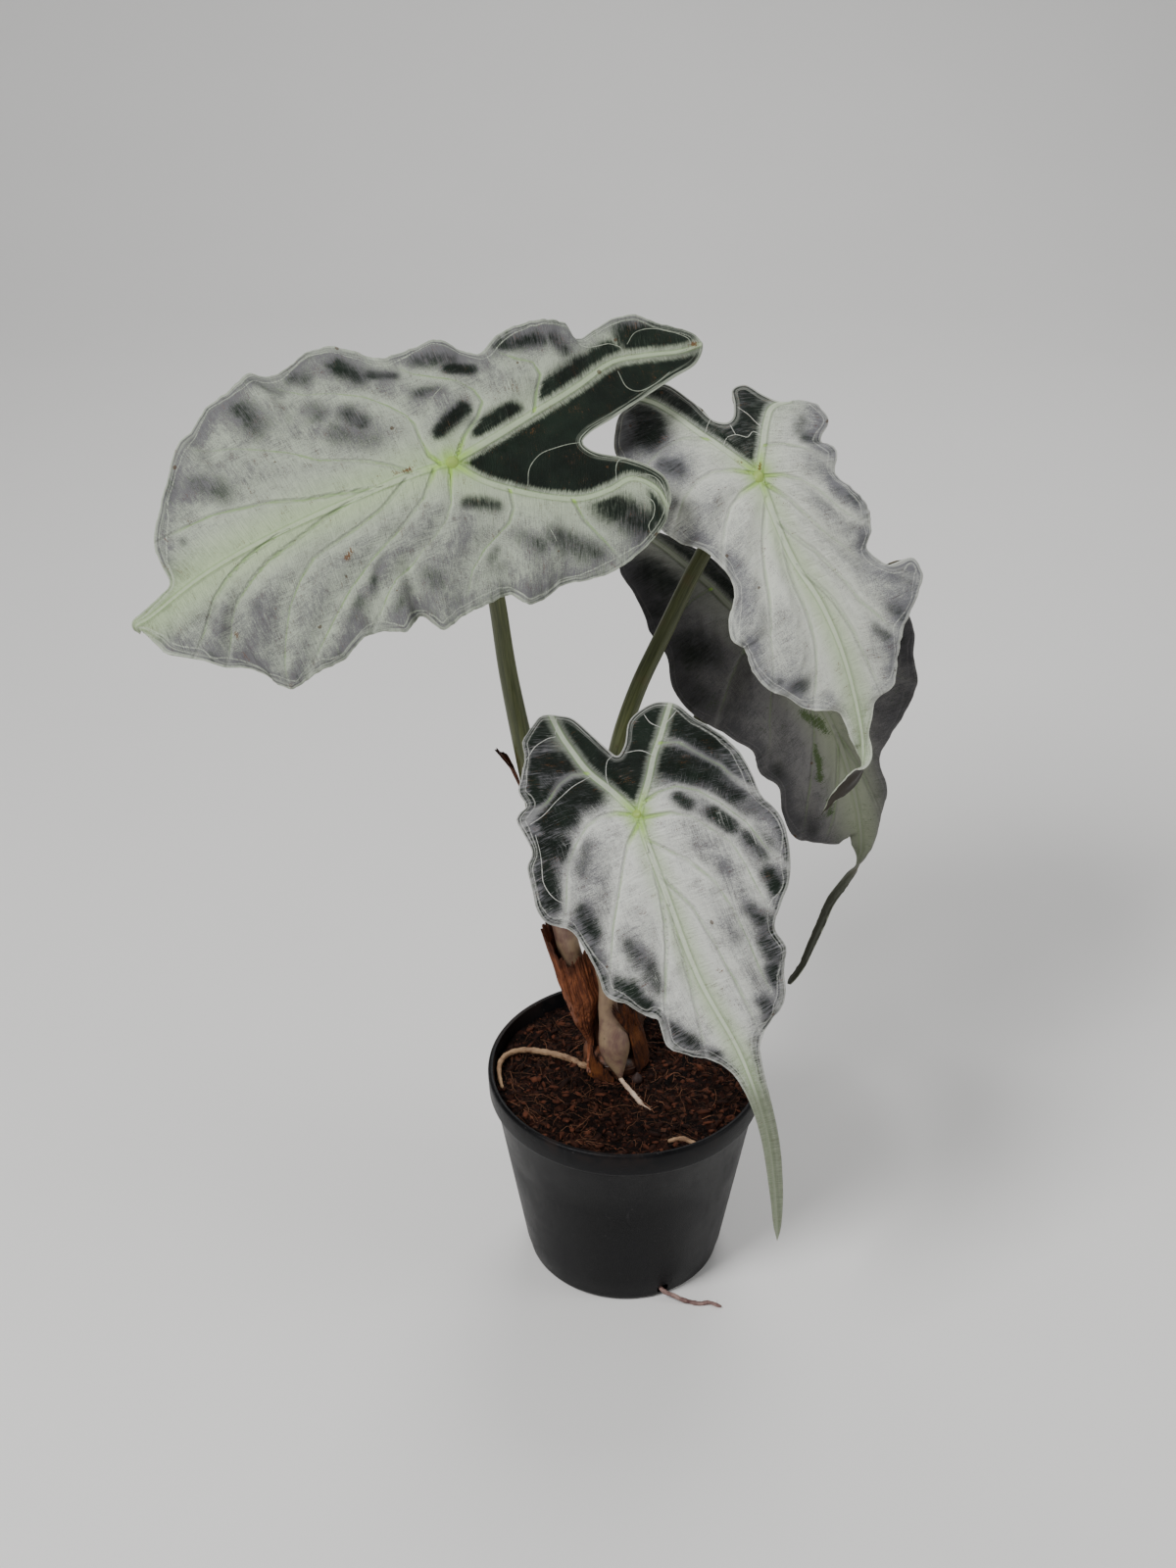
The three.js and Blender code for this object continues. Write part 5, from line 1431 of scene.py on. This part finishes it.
@dataclass
class Stalks:
    """The four fleshy leaf stalks, as (x, y, z, radius) from their sockets to their blades."""

    sides: int = 28
    pitch: float = 2.2
    courses: dict[str, Points] = field(default_factory=lambda: {
        "left": [
            (-10, 11, 97, 3.2), (-13.6, 11.2, 112, 3.7), (-18.5, 11, 132, 4.5), (-24, 12.2, 152, 4.8),
            (-28.5, 14, 172, 4.5), (-35.5, 15, 211, 4.4), (-42, 16, 250, 4.2), (-48, 17, 286, 3.7),
            (-51.5, 17, 316, 3.4), (-56, 15, 350, 3.3), (-62, 10, 373, 3.2), (-66.5, -2, 384, 3),
        ],
        "front": [
            (-2.2, -5, 96.4, 0.9), (-2.6, -4.7, 98.4, 1.7), (-3.2, -3.2, 101, 3.4),
            (-4.2, -0.8, 104.4, 5.6), (-4.8, 1.2, 109, 6.8), (-5.2, 2.4, 114, 6.6), (-6.2, 3.2, 120, 5.4),
            (-7.6, 3.5, 127, 4.3), (-7.8, 3.3, 134, 4), (-7.8, 3, 141, 4.1), (-9.6, 2.2, 152, 4.2),
            (-12, 1, 165, 4.2), (-10, -9, 205, 3.8), (-4, -24, 238, 3.5), (3, -44, 258, 3),
        ],
        "right": [
            (-4, 18, 97, 4), (-4, 19, 125, 4), (-5, 20, 165, 4), (-6, 20, 205, 3.9), (-6, 21, 232, 3.8),
            (-3, 22, 252, 3.7), (4, 26, 274, 3.5), (13, 30, 294, 3.4), (27, 36, 324, 3.2),
            (39, 38, 347, 3.1), (49.5, 30, 364.5, 3),
        ],
        "rear": [
            (3, 11, 97, 3.9), (5, 16, 125, 3.9), (9, 28, 160, 3.8), (18, 46, 205, 3.6), (33, 66, 238, 3.4),
            (48, 81, 260, 3.2), (59, 80, 270, 2.8),
        ],
    })

    def build(self, finish: PlainFinish) -> None:
        """Builds each stalk in place of its CAD node."""
        skin = finish.stalk()
        for name, stations in self.courses.items():
            bm = new_mesh("rise", maps=("Streaks",))
            curve = SmoothCurve([p[:3] for p in stations])
            along = np.linspace(0, curve.length - 1.2, round(curve.length / self.pitch))
            radii = SmoothCurve([(k, r, 0) for k, r in zip(curve.knots, [p[3] for p in stations])])
            sizes = np.interp(along, radii.samples[:, 0], radii.samples[:, 1])
            add_tube(bm, curve.at(along) * MM, sizes * MM, self.sides, ridges=0.012)
            piece = new_piece(f"leaf_stalk_{name}", bm, [skin])
            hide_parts(f"stalk_{name}")
            log.info("leaf_stalk_%s: %.0f mm long", name, curve.length)


@dataclass
class Sheath:
    """A dried sheath: a strip curled round a line, torn along its upper edge.

    Attributes:
        node: The CAD node that it stands for.
        spine: Points of the line that it is curled round.
        turn: Its first and last angle in degrees, 0 being +X.
        rings: (share of the way up, radius).
        rise: (angle, how far up the strip reaches there).
        crumple: How far its creases stand out, in millimetres.
        tear: How deep its upper edge is torn, as a share of its height.
        dark: Whether it is the dark kind.
        steps: Its steps round and up.
        thickness: How thick it is, in millimetres.
        lean: How far its first edge turns on as it goes down, in degrees.
    """

    node: str
    spine: Points
    turn: tuple[float, float]
    rings: Points
    rise: Points
    crumple: float = 0.5
    tear: float = 0.1
    dark: bool = True
    steps: tuple[int, int] = (120, 60)
    thickness: float = 0.5
    lean: float = 0

    def build(self, material: Material) -> None:
        """Builds the sheath in place of its CAD node."""
        bm = new_mesh("rise", maps=("Streaks",))
        verts, places = add_grid(bm, *self.steps)
        spine = SmoothCurve(self.spine)
        degrees = self.turn[0] + (self.turn[1] - self.turn[0]) * places[:, 0]
        at, reach = zip(*self.rise)
        top = np.interp(degrees, at, reach)
        tear = noise_at(degrees * 0.11, 2.3, 0)
        top = top * (1 + self.tear * (tear + 0.8 * noise_at(degrees * 0.45, 7.3, 0)))
        share = np.clip(top * places[:, 1], 0, 1)
        degrees = degrees + self.lean * np.clip((1 - share) / 0.46, 0, 1) * (1 - places[:, 0])
        heights, sizes = zip(*self.rings)
        radius = np.interp(share, heights, sizes)
        middle = spine.at(share * spine.length)
        angle = np.radians(degrees)
        z = middle[:, 2]
        crease = noise_at(degrees * 0.075, z * 0.035, 0) + 0.5 * noise_at(degrees * 0.21, z * 0.11, 5)
        radius = radius + self.crumple * crease * (0.4 + share) + 0.8 * tear * places[:, 1] ** 8
        out = np.stack([np.cos(angle), np.sin(angle), 0 * angle], -1)
        for vert, place in zip(verts, (middle + out * radius[:, None]) * MM):
            vert.co = place
        write_map(bm, "Streaks", verts, np.column_stack([angle * radius, share * spine.length]))
        write_number(bm, "rise", verts, places[:, 1])
        if self.turn[1] > self.turn[0]:
            bm.normal_update()
        piece = new_piece("dried_" + self.node, bm, [material])
        modify(piece, "thickness", "SOLIDIFY", thickness=self.thickness * MM, offset=0)
        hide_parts(self.node)
        log.info("dried_%s built", self.node)


SHEATHS = [
    Sheath(
        node="sheath_funnel",
        spine=[
            (-15.6, -1.5, 97), (-15.3, 2.5, 102), (-15, 6.5, 107), (-16.1, 8.2, 111), (-17.4, 9, 116),
            (-18.6, 9.4, 125), (-19.2, 9.5, 132), (-21.2, 9.7, 139), (-22.7, 10, 147), (-25.4, 10.6, 159),
            (-27, 11, 166),
        ],
        turn=(-285, 20),
        rings=[
            (0, 0.9), (0.087, 0.9), (0.175, 1.1), (0.235, 2.4), (0.306, 4.2), (0.43, 6), (0.526, 7.8),
            (0.625, 7.9), (0.735, 7.9), (0.902, 8.2), (1, 8.6),
        ],
        rise=[
            (-285, 0.85), (-200, 1), (-172, 1), (-150, 0.93), (-120, 0.85), (-95, 0.81), (-60, 0.83),
            (20, 0.87),
        ],
        crumple=1.0,
        tear=0.05,
        dark=False,
        steps=(170, 70),
    ),
    Sheath(
        node="sheath_side",
        spine=[(-4.5, 10.5, 96), (-5.5, 10, 108), (-7, 9.6, 122), (-7.6, 9.3, 134)],
        turn=(-94, 40),
        rings=[(0, 15), (0.3, 13.6), (0.5, 12.2), (0.7, 11.6), (1, 11.6)],
        rise=[(-94, 0.95), (-80, 1), (-58, 1), (-44, 0.84), (-28, 0.7), (0, 0.55), (40, 0.45)],
        crumple=1.2,
        tear=0.22,
        lean=44,
    ),
    Sheath(
        node="sheath_foot",
        spine=[(-4.5, 10.5, 94.8), (-4.5, 10.5, 110)],
        turn=(-135, -92),
        rings=[(0, 16.6), (0.5, 15.4), (1, 14)],
        rise=[(-135, 0.95), (-118, 0.62), (-92, 0.16)],
        crumple=0.7,
        tear=0.3,
        steps=(60, 36),
    ),
    Sheath(
        node="sheath_scrap",
        spine=[(-41.6, 15.6, 232), (-43, 15.8, 241), (-45.2, 16, 252)],
        turn=(150, 235),
        rings=[(0, 2.3), (0.5, 4.4), (1, 8.6)],
        rise=[(150, 0.7), (190, 1), (235, 0.6)],
        crumple=0.6,
        steps=(40, 30),
        thickness=0.4,
    ),
]


def soil_height(x: float, y: float) -> float:
    """Returns the height of the soil's surface, as the CAD solid has it."""
    mound = 1.4 * math.exp(-((x + 4) ** 2 + (y - 8) ** 2) / 500)
    clods = 0.55 * math.sin(0.31 * x + 1.3) * math.cos(0.27 * y) + 0.4 * math.sin(0.63 * y - 0.45 * x)
    return Pot.SOIL_TOP + mound + clods


@dataclass
class Roots:
    """The stem that the stalks stand in, the bare roots and the small pale shoot.

    A root on the soil is (x, y, height of its middle over the soil, radius).
    """

    stem_middle: Point = (-4.5, 10.5)
    stem_profile: Points = field(default_factory=lambda: [
        (0.1, 80), (3, 80), (7, 83), (11, 88), (13.4, 93), (14.4, 98), (13.6, 101.5), (11.5, 103.5),
        (6, 104), (0.1, 104.2),
    ])
    on_soil: dict[str, Points] = field(default_factory=lambda: {
        "root_arching": [
            (-12, 5, 0.6, 1.5), (-18.5, 5, 0.7, 1.5), (-24, 8.5, 1.6, 1.5), (-34.5, 13, 2.2, 1.4),
            (-45.5, 14.5, 2.4, 1.3), (-52, 10.5, 2.8, 1.2), (-54.9, 4, 2.8, 1.1), (-54.9, -2.5, 1.8, 1),
            (-53.6, -8, -0.3, 0.8),
        ],
        "root_white": [
            (-2.2, -5, 1.7, 0.9), (-0.6, -8.4, 1.5, 0.95), (3, -14, 1.2, 1.05), (6.6, -20, 0.8, 1),
            (7.6, -21, 0.5, 0.4), (10.5, -22.6, 0.2, 0.2),
        ],
        "root_small": [
            (18, -43.4, 0.1, 0.9), (23, -42.5, 0.6, 1.15), (27.6, -43.9, 0.6, 1.05), (30.6, -46, 0, 0.7),
        ],
    })
    on_table: Points = field(default_factory=lambda: [
        (14, -37, 5.6, 0.9), (17.2, -41.6, 4.9, 1), (21.8, -43.2, 3.6, 1), (25.2, -44, 2.2, 1),
        (29.4, -44.6, 1.1, 0.95), (33.3, -45.4, 1.05, 0.95), (37.2, -44.7, 1, 0.9), (42, -46.8, 0.9, 0.7),
    ])
    bud: Point = (5, -5.2, 2.6, 6.5)

    def build(self, finish: PlainFinish) -> None:
        """Builds the stem, the roots and the shoot in place of their CAD nodes."""
        self.build_stem(finish.stem())
        tan = finish.root("tan root skin", (0.38, 0.245, 0.14), (0.13, 0.065, 0.034))
        white = finish.root("pale root skin", (0.6, 0.47, 0.36), (0.36, 0.23, 0.155))
        rosy = finish.root("rosy root skin", (0.34, 0.225, 0.195), (0.085, 0.036, 0.034))
        # The shoot's skin is near-black mauve-brown although the shoot is pale: painted shade, for the
        # shadow that it stands in.
        shoot = finish.root("shoot skin", (0.044, 0.022, 0.018), (0.014, 0.007, 0.006))
        for name, root in self.on_soil.items():
            course = [(x, y, soil_height(x, y) + up, r) for x, y, up, r in root]
            self.build_root(name, course, white if name == "root_white" else tan)
        self.build_root("root_on_table", self.on_table, rosy)
        self.build_bud(shoot)

    def build_root(self, name: str, course: Points, skin: Material) -> None:
        """Builds one root, slightly knotted, with short hairs."""
        bm = new_mesh("rise", maps=("Streaks",))
        curve = SmoothCurve([p[:3] for p in course])
        along = np.linspace(0, curve.length, max(20, round(curve.length / 0.7)))
        radii = np.interp(along, curve.knots, [p[3] for p in course])
        radii *= 1 + 0.09 * np.sin(along * 1.3) + 0.06 * np.sin(along * 3.1 + 1)
        add_tube(bm, curve.at(along) * MM, radii * MM, sides=14, ridges=0.03)
        draw = random.Random(name)
        for _ in range(round(curve.length * 0.6)):
            at = draw.uniform(0, curve.length)
            foot = curve.at(np.array([at]))[0]
            lean = np.array([draw.uniform(-1, 1), draw.uniform(-1, 1), draw.uniform(-0.1, 0.8)])
            reach = draw.uniform(1.2, 2.6)
            steps = np.linspace(0, 1, 4)[:, None]
            hair = foot + unit(lean) * reach * steps + np.array([0, 0, -0.5]) * steps**2
            add_tube(bm, hair * MM, np.linspace(0.09, 0.04, 4) * MM, sides=3)
        piece = new_piece("bare_" + name, bm, [skin])
        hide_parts(name)
        log.info("bare_%s: %.0f mm long", name, curve.length)

    def build_stem(self, skin: Material) -> None:
        """Builds the short stem as a spun profile, ringed by old leaf scars."""
        x, y = self.stem_middle
        bm = spun(self.stem_profile, 96, (x, y))
        for vert in bm.verts:
            out = Vector((vert.co.x - x * MM, vert.co.y - y * MM, 0))
            rings = 0.35 * math.sin(vert.co.z * 2600) + 0.5 * noise.noise(vert.co * 260)
            vert.co += out.normalized() * rings * MM * min(1, out.length / 0.005)
        piece = new_piece("short_stem", bm, [skin])
        modify(piece, "smooth", "SUBSURF", levels=2, render_levels=2)
        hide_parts("stem")

    def build_bud(self, skin: Material) -> None:
        """Builds the small pale shoot."""
        x, y, radius, height = self.bud
        foot = soil_height(x, y) - 1.5
        shares = np.linspace(0.02, 1, 16)
        swell = radius * np.sin(math.pi * shares**0.8) * (1 - 0.25 * shares)
        profile = [(0.05, foot), *zip(swell, foot + height * shares)]
        bm = spun(profile, 32, (x, y))
        piece = new_piece("pale_shoot", bm, [skin])
        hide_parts("bud")


def spun(profile: Points, steps: int, middle: Point = (0, 0)) -> BMesh:
    """Turns an outline round a vertical line.

    Args:
        profile: (radius, height) points, in millimetres.
        steps: Steps of the full turn.
        middle: The x and y of the line.

    Returns:
        The closed mesh, in metres.
    """
    bm = bmesh.new()
    x, y = middle
    verts = [bm.verts.new((x * MM + r * MM, y * MM, z * MM)) for r, z in profile]
    edges = [bm.edges.new(pair) for pair in zip(verts, verts[1:])]
    bmesh.ops.spin(
        bm, geom=verts + edges, cent=(x * MM, y * MM, 0), axis=(0, 0, 1), angle=math.tau,
        steps=steps, use_merge=True,
    )
    bmesh.ops.remove_doubles(bm, verts=bm.verts, dist=1e-5)
    bmesh.ops.holes_fill(bm, edges=bm.edges)
    bmesh.ops.recalc_face_normals(bm, faces=bm.faces)
    return bm


def modify(piece: Object, name: str, kind: str, **settings: object) -> bpy.types.Modifier:
    """Puts a modifier with some settings on a piece."""
    made = piece.modifiers.new(name, kind)
    for key, value in settings.items():
        setattr(made, key, value)
    return made


@dataclass
class Pot:
    """The nursery pot."""

    SOIL_TOP = 93.5

    height: float = 100
    rim_radius: float = 60
    rim_drop: float = 11
    rim_step: float = 2.6
    base_radius: float = 43
    wall: float = 1.6
    floor: float = 2.4
    holes: int = 8
    hole_radius: float = 4
    hole_ring: float = 30
    slot: Point = (5, 2.9, 7.6)
    slot_at: Point = (17.5, -42)
    slot_depth: float = 14
    slot_round: float = 1.2
    drill_length: float = 8

    def inner(self, z: float) -> float:
        """Returns the radius of the inside at a height."""
        upper = self.rim_radius - self.rim_step
        return self.base_radius + (upper - self.base_radius) * z / (self.height - self.rim_drop) - self.wall

    def profile(self) -> Points:
        """Returns the outline of half the pot's section."""
        top, rim, foot = self.height, self.rim_radius, self.base_radius
        shoulder = top - self.rim_drop
        body = rim - self.rim_step
        outside = [
            (0.1, 0), (foot - 3.4, 0), (foot - 2, 0.25), (foot - 0.9, 0.9), (foot - 0.25, 1.9), (foot, 3.2),
            *((foot + (body - foot) * z / shoulder, z) for z in (9, 14, 30, 60)),
            (body - 0.2, shoulder - 1.4), (body + 0.2, shoulder - 0.9), (body + 1.6, shoulder - 0.3),
            (rim - 0.7, shoulder + 0.2), (rim - 0.45, shoulder + 1.1), (rim - 0.1, top - 1.8),
            (rim - 0.3, top - 0.7), (rim - 0.9, top - 0.1), (rim - 1.6, top), (rim - 2.3, top - 0.3),
        ]
        deep = self.floor + 2
        inside = [
            (self.inner(top - 2), top - 2), (self.inner(50), 50), (self.inner(deep), deep),
            (self.inner(deep) - 0.6, deep - 1.4), (self.inner(deep) - 2, self.floor), (0.1, self.floor),
        ]
        return outside + inside

    def build(self, finish: PlainFinish) -> None:
        """Builds the pot, with its drain holes and the slot at its foot."""
        bm = spun(self.profile(), 144)
        piece = new_piece("nursery_pot", bm, [finish.pot()])
        cutter = bmesh.new()
        for i in range(self.holes):
            angle = math.tau * (i + 0.5) / self.holes
            made = bmesh.ops.create_cone(
                cutter, cap_ends=True, segments=40, radius1=self.hole_radius * MM,
                radius2=self.hole_radius * MM, depth=self.drill_length * MM,
            )["verts"]
            at = (self.hole_ring * MM * math.cos(angle), self.hole_ring * MM * math.sin(angle), 0)
            bmesh.ops.translate(cutter, verts=made, vec=at)
        width, low, high = self.slot
        made = bmesh.ops.create_cube(cutter, size=1.0)["verts"]
        bmesh.ops.scale(cutter, verts=made, vec=(self.slot_depth * MM, width * MM, (high - low) * MM))
        bmesh.ops.bevel(
            cutter, geom=list({e for v in made for e in v.link_edges}), offset=self.slot_round * MM,
            segments=4, profile=0.5, affect="EDGES", material=-1,
        )
        slot_verts = [v for v in cutter.verts if abs(v.co.z) < high * MM and v.co.xy.length < 0.012]
        turn = math.atan2(self.slot_at[1], self.slot_at[0])
        reach = self.base_radius * MM
        place = (reach * math.cos(turn), reach * math.sin(turn), (low + high) / 2 * MM)
        bmesh.ops.rotate(cutter, verts=slot_verts, cent=(0, 0, 0), matrix=Matrix.Rotation(turn, 3, "Z"))
        bmesh.ops.translate(cutter, verts=slot_verts, vec=place)
        cut(piece, cutter)
        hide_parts("pot")
        log.info("nursery_pot built")


def cut(piece: Object, cutter: BMesh) -> None:
    """Cuts a mesh out of a piece and keeps the result as the piece's own mesh."""
    mesh = bpy.data.meshes.new("cutter")
    cutter.to_mesh(mesh)
    cutter.free()
    tool = new_object("cutter", mesh)
    boolean = modify(piece, "cut", "BOOLEAN", operation="DIFFERENCE", solver="EXACT", object=tool)
    graph = bpy.context.evaluated_depsgraph_get()
    result = bpy.data.meshes.new_from_object(piece.evaluated_get(graph))
    piece.modifiers.remove(boolean)
    bpy.data.objects.remove(tool)
    piece.data = result
    result.set_sharp_from_angle(angle=math.radians(38))


@dataclass
class Soil:
    """Coir and peat: a lumpy surface, loose crumbs and fibres."""

    # The surface's lumps, coarse to fine: (height, how many per millimetre, slice of the noise).
    LUMPS = ((0.85, 0.16, 3), (0.95, 0.42, 8), (0.5, 1.1, 1))

    pot: Pot
    rings: int = 110
    turns: int = 220
    crumbs: int = 1900
    fibres: int = 620
    stem_clearance: float = 11

    def lumps(self, x: float, y: float) -> float:
        """Returns how far small lumps stand over the CAD surface."""
        return sum(k * noise.noise(Vector((x * scale, y * scale, z))) for k, scale, z in self.LUMPS)

    def height(self, x: float, y: float) -> float:
        """Returns the height of the finished surface."""
        return soil_height(x, y) + self.lumps(x, y)

    def build(self, finish: PlainFinish) -> None:
        """Builds the soil in place of its CAD node, and what lies loose on it."""
        bm = bmesh.new()
        verts, places = add_grid(bm, self.rings, self.turns)
        edge = self.pot.inner(self.pot.SOIL_TOP) - 0.15
        for vert, (u, v) in zip(verts, places):
            angle = math.tau * (round(v * self.turns) % self.turns) / self.turns
            radius = edge * u
            x, y = radius * math.cos(angle), radius * math.sin(angle)
            vert.co = Vector((x, y, self.height(x, y))) * MM
        bmesh.ops.remove_doubles(bm, verts=bm.verts, dist=1e-6)
        rim = [e for e in bm.edges if e.is_boundary]
        for z, gap in ((40, 0.3), (self.pot.floor + 0.3, 2.3)):
            made = bmesh.ops.extrude_edge_only(bm, edges=rim)["geom"]
            for vert in (g for g in made if isinstance(g, bmesh.types.BMVert)):
                radius = (self.pot.inner(z) - gap) * MM
                vert.co.xy = vert.co.xy.normalized() * radius
                vert.co.z = z * MM
            rim = [g for g in made if isinstance(g, bmesh.types.BMEdge)]
        bmesh.ops.holes_fill(bm, edges=rim)
        bmesh.ops.recalc_face_normals(bm, faces=bm.faces)
        piece = new_piece("coir_soil", bm, [finish.soil()])
        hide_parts("soil")
        self.build_crumbs(finish)
        self.build_fibres(finish)
        log.info("coir_soil built")

    def spot(self, draw: random.Random, margin: float) -> tuple[float, float]:
        """Returns a place on the soil that is clear of the rim and of the stem's middle."""
        while True:
            radius = (self.pot.inner(self.pot.SOIL_TOP) - margin) * math.sqrt(draw.random())
            angle = draw.uniform(0, math.tau)
            x, y = radius * math.cos(angle), radius * math.sin(angle)
            if math.dist((x, y), Roots.stem_middle) > self.stem_clearance:
                return x, y

    def build_crumbs(self, finish: PlainFinish) -> None:
        """Strews small lumps of coir over the soil."""
        bm = new_mesh("tone")
        draw = random.Random(11)
        for index in range(self.crumbs):
            size = 0.35 + 1.25 * draw.random() ** 2.5
            x, y = self.spot(draw, size + 0.8)
            part = new_mesh("tone")
            made = bmesh.ops.create_icosphere(part, subdivisions=1, radius=size * MM)["verts"]
            squash = (draw.uniform(0.8, 2.2), draw.uniform(0.5, 1.0), draw.uniform(0.3, 0.8))
            bmesh.ops.scale(part, verts=made, vec=squash)
            for vert in made:
                vert.co *= 1 + 0.9 * noise.noise(vert.co * 1400 + Vector((7.3 * index, 0, 0)))
            turn = Matrix.Rotation(draw.uniform(0, 6.3), 3, "Z")
            turn @= Matrix.Rotation(draw.uniform(-0.4, 0.4), 3, "Y")
            bmesh.ops.rotate(part, verts=made, cent=(0, 0, 0), matrix=turn)
            place = Vector((x, y, self.height(x, y) + size * 0.15)) * MM
            bmesh.ops.translate(part, verts=made, vec=place)
            write_number(part, "tone", made, [draw.random() ** 2.2] * len(made))
            pour(bm, part)
        material = finish.crumb("coir crumbs", (0.0024, 0.001, 0.0008), (0.12, 0.038, 0.019))
        new_piece("coir_crumbs", bm, [material])

    def build_fibres(self, finish: PlainFinish) -> None:
        """Lays the fibres that the photograph shows, and strews finer ones over the soil."""
        bm = new_mesh("rise", "tone", maps=("Streaks",))
        draw = random.Random(23)
        for x, y, to_x, to_y, thick, tone in LAID:
            t = np.linspace(0, 1, 9)
            sag = draw.uniform(-1.2, 1.2) * np.sin(math.pi * t)
            xs, ys = x + (to_x - x) * t + sag, y + (to_y - y) * t + 0.5 * sag
            self.add_fibre(bm, draw, zip(xs, ys), thick, tone, 0.9)
        for _ in range(self.fibres):
            length = draw.uniform(3, 7) + 11 * draw.random() ** 3
            x, y = self.spot(draw, 3)
            heading = draw.uniform(0, math.tau)
            bend = draw.uniform(-1.2, 1.2)
            places = []
            steps = 7
            for _ in range(steps + 1):
                places.append((x, y))
                heading += bend / steps + draw.uniform(-0.15, 0.15)
                x += length / steps * math.cos(heading)
                y += length / steps * math.sin(heading)
                if math.hypot(x, y) > self.pot.inner(self.pot.SOIL_TOP) - 0.8:
                    break
            if len(places) >= 4:
                self.add_fibre(bm, draw, places, draw.uniform(0.05, 0.11), draw.random() ** 3, 0.6)
        material = finish.crumb("coir fibres", (0.008, 0.0028, 0.0017), (0.34, 0.155, 0.085))
        new_piece("coir_fibres", bm, [material])

    def add_fibre(
        self, bm: BMesh, draw: random.Random, places: Points, thick: float, tone: float, lift: float
    ) -> None:
        """Adds one fibre, which rises a little between its ends.

        Args:
            bm: The mesh that it goes into.
            draw: The seeded source of chance.
            places: The x and y that it passes.
            thick: Its radius.
            tone: Its place between the darkest and the lightest fibre.
            lift: How far its middle rises at most.
        """
        rise = lift * draw.random()
        places = list(places)
        last = len(places) - 1
        path = [
            (x, y, self.height(x, y) + 0.25 + rise * math.sin(math.pi * i / last))
            for i, (x, y) in enumerate(places)
        ]
        radii = np.linspace(thick, thick * 0.6, len(path)) * MM
        add_tube(bm, np.array(path) * MM, radii, sides=4, tone=tone)


@dataclass
class Studio:
    """The floor, the light and the camera."""

    camera_at: Point = (-0.0163, -0.7363, 0.7095)
    camera_pitch: float = 32.3
    lens: float = 50
    lights: list[tuple[str, Point, Point, float, float]] = field(default_factory=lambda: [
        ("key light", (-0.75, -0.75, 1.4), (-0.02, 0, 0.25), 0.55, 25),
        ("side light", (1.25, -0.35, 0.75), (0, 0, 0.22), 0.8, 6),
        ("back light", (0.2, 1.1, 1.2), (0, 0, 0.25), 0.9, 9),
    ])

    def build(self, finish: PlainFinish) -> None:
        """Sets the studio up."""
        self.build_floor(finish)
        for light in self.lights:
            self.build_light(*light)
        world = bpy.data.worlds.new("studio")
        world.use_nodes = True
        background = world.node_tree.nodes["Background"]
        background.inputs[0].default_value = (0.86, 0.87, 0.88, 1)
        background.inputs[1].default_value = 0.3
        bpy.context.scene.world = world
        self.build_camera()

    def build_floor(self, finish: PlainFinish) -> None:
        """Lays a wide floor that rises softly behind the part."""
        bm = bmesh.new()
        verts, places = add_grid(bm, 40, 4)
        for vert, (u, v) in zip(verts, places):
            y = -2.2 + 4.4 * u
            rise = max(0.0, y - 1.2)
            vert.co = ((v - 0.5) * 7, y, 1.3 * rise**2)
        bmesh.ops.recalc_face_normals(bm, faces=bm.faces)
        if sum(face.normal.z for face in bm.faces) < 0:
            bmesh.ops.reverse_faces(bm, faces=bm.faces)
        floor = smooth_object("studio_floor", bm, [finish.floor()])

    def build_light(self, name: str, at: Point, target: Point, size: float, power: float) -> None:
        """Adds one soft light, aimed at a point."""
        data = bpy.data.lights.new(name, "AREA")
        data.shape = "DISK"
        data.size = size
        data.energy = power
        lamp = new_object(name, data)
        lamp.location = at
        lamp.rotation_euler = (Vector(target) - Vector(at)).to_track_quat("-Z", "Y").to_euler()

    def build_camera(self) -> None:
        """Adds the camera at the photograph's angle."""
        data = bpy.data.cameras.new("camera")
        data.lens = self.lens
        camera = new_object("camera", data)
        camera.location = self.camera_at
        camera.rotation_euler = (math.radians(90 - self.camera_pitch), 0, 0)
        bpy.context.scene.camera = camera


def main() -> None:
    """Builds every piece in order."""
    logging.basicConfig(level=logging.INFO, format="%(name)s: %(message)s")
    effects = Effects()
    finish = PlainFinish(effects)
    Studio().build(finish)
    for shape in BLADES:
        Blade(shape, effects).build()
    Stalks().build(finish)
    pale = finish.sheath("papery sheath", (0.07, 0.019, 0.008), (0.27, 0.088, 0.036), (0.34, 0.165, 0.115))
    dark = finish.sheath("dark sheath", (0.02, 0.005, 0.002), (0.115, 0.033, 0.008), (0.17, 0.056, 0.014))
    for sheath in SHEATHS:
        sheath.build(dark if sheath.dark else pale)
    Roots().build(finish)
    pot = Pot()
    pot.build(finish)
    Soil(pot).build(finish)


if __name__ == "__main__":
    main()
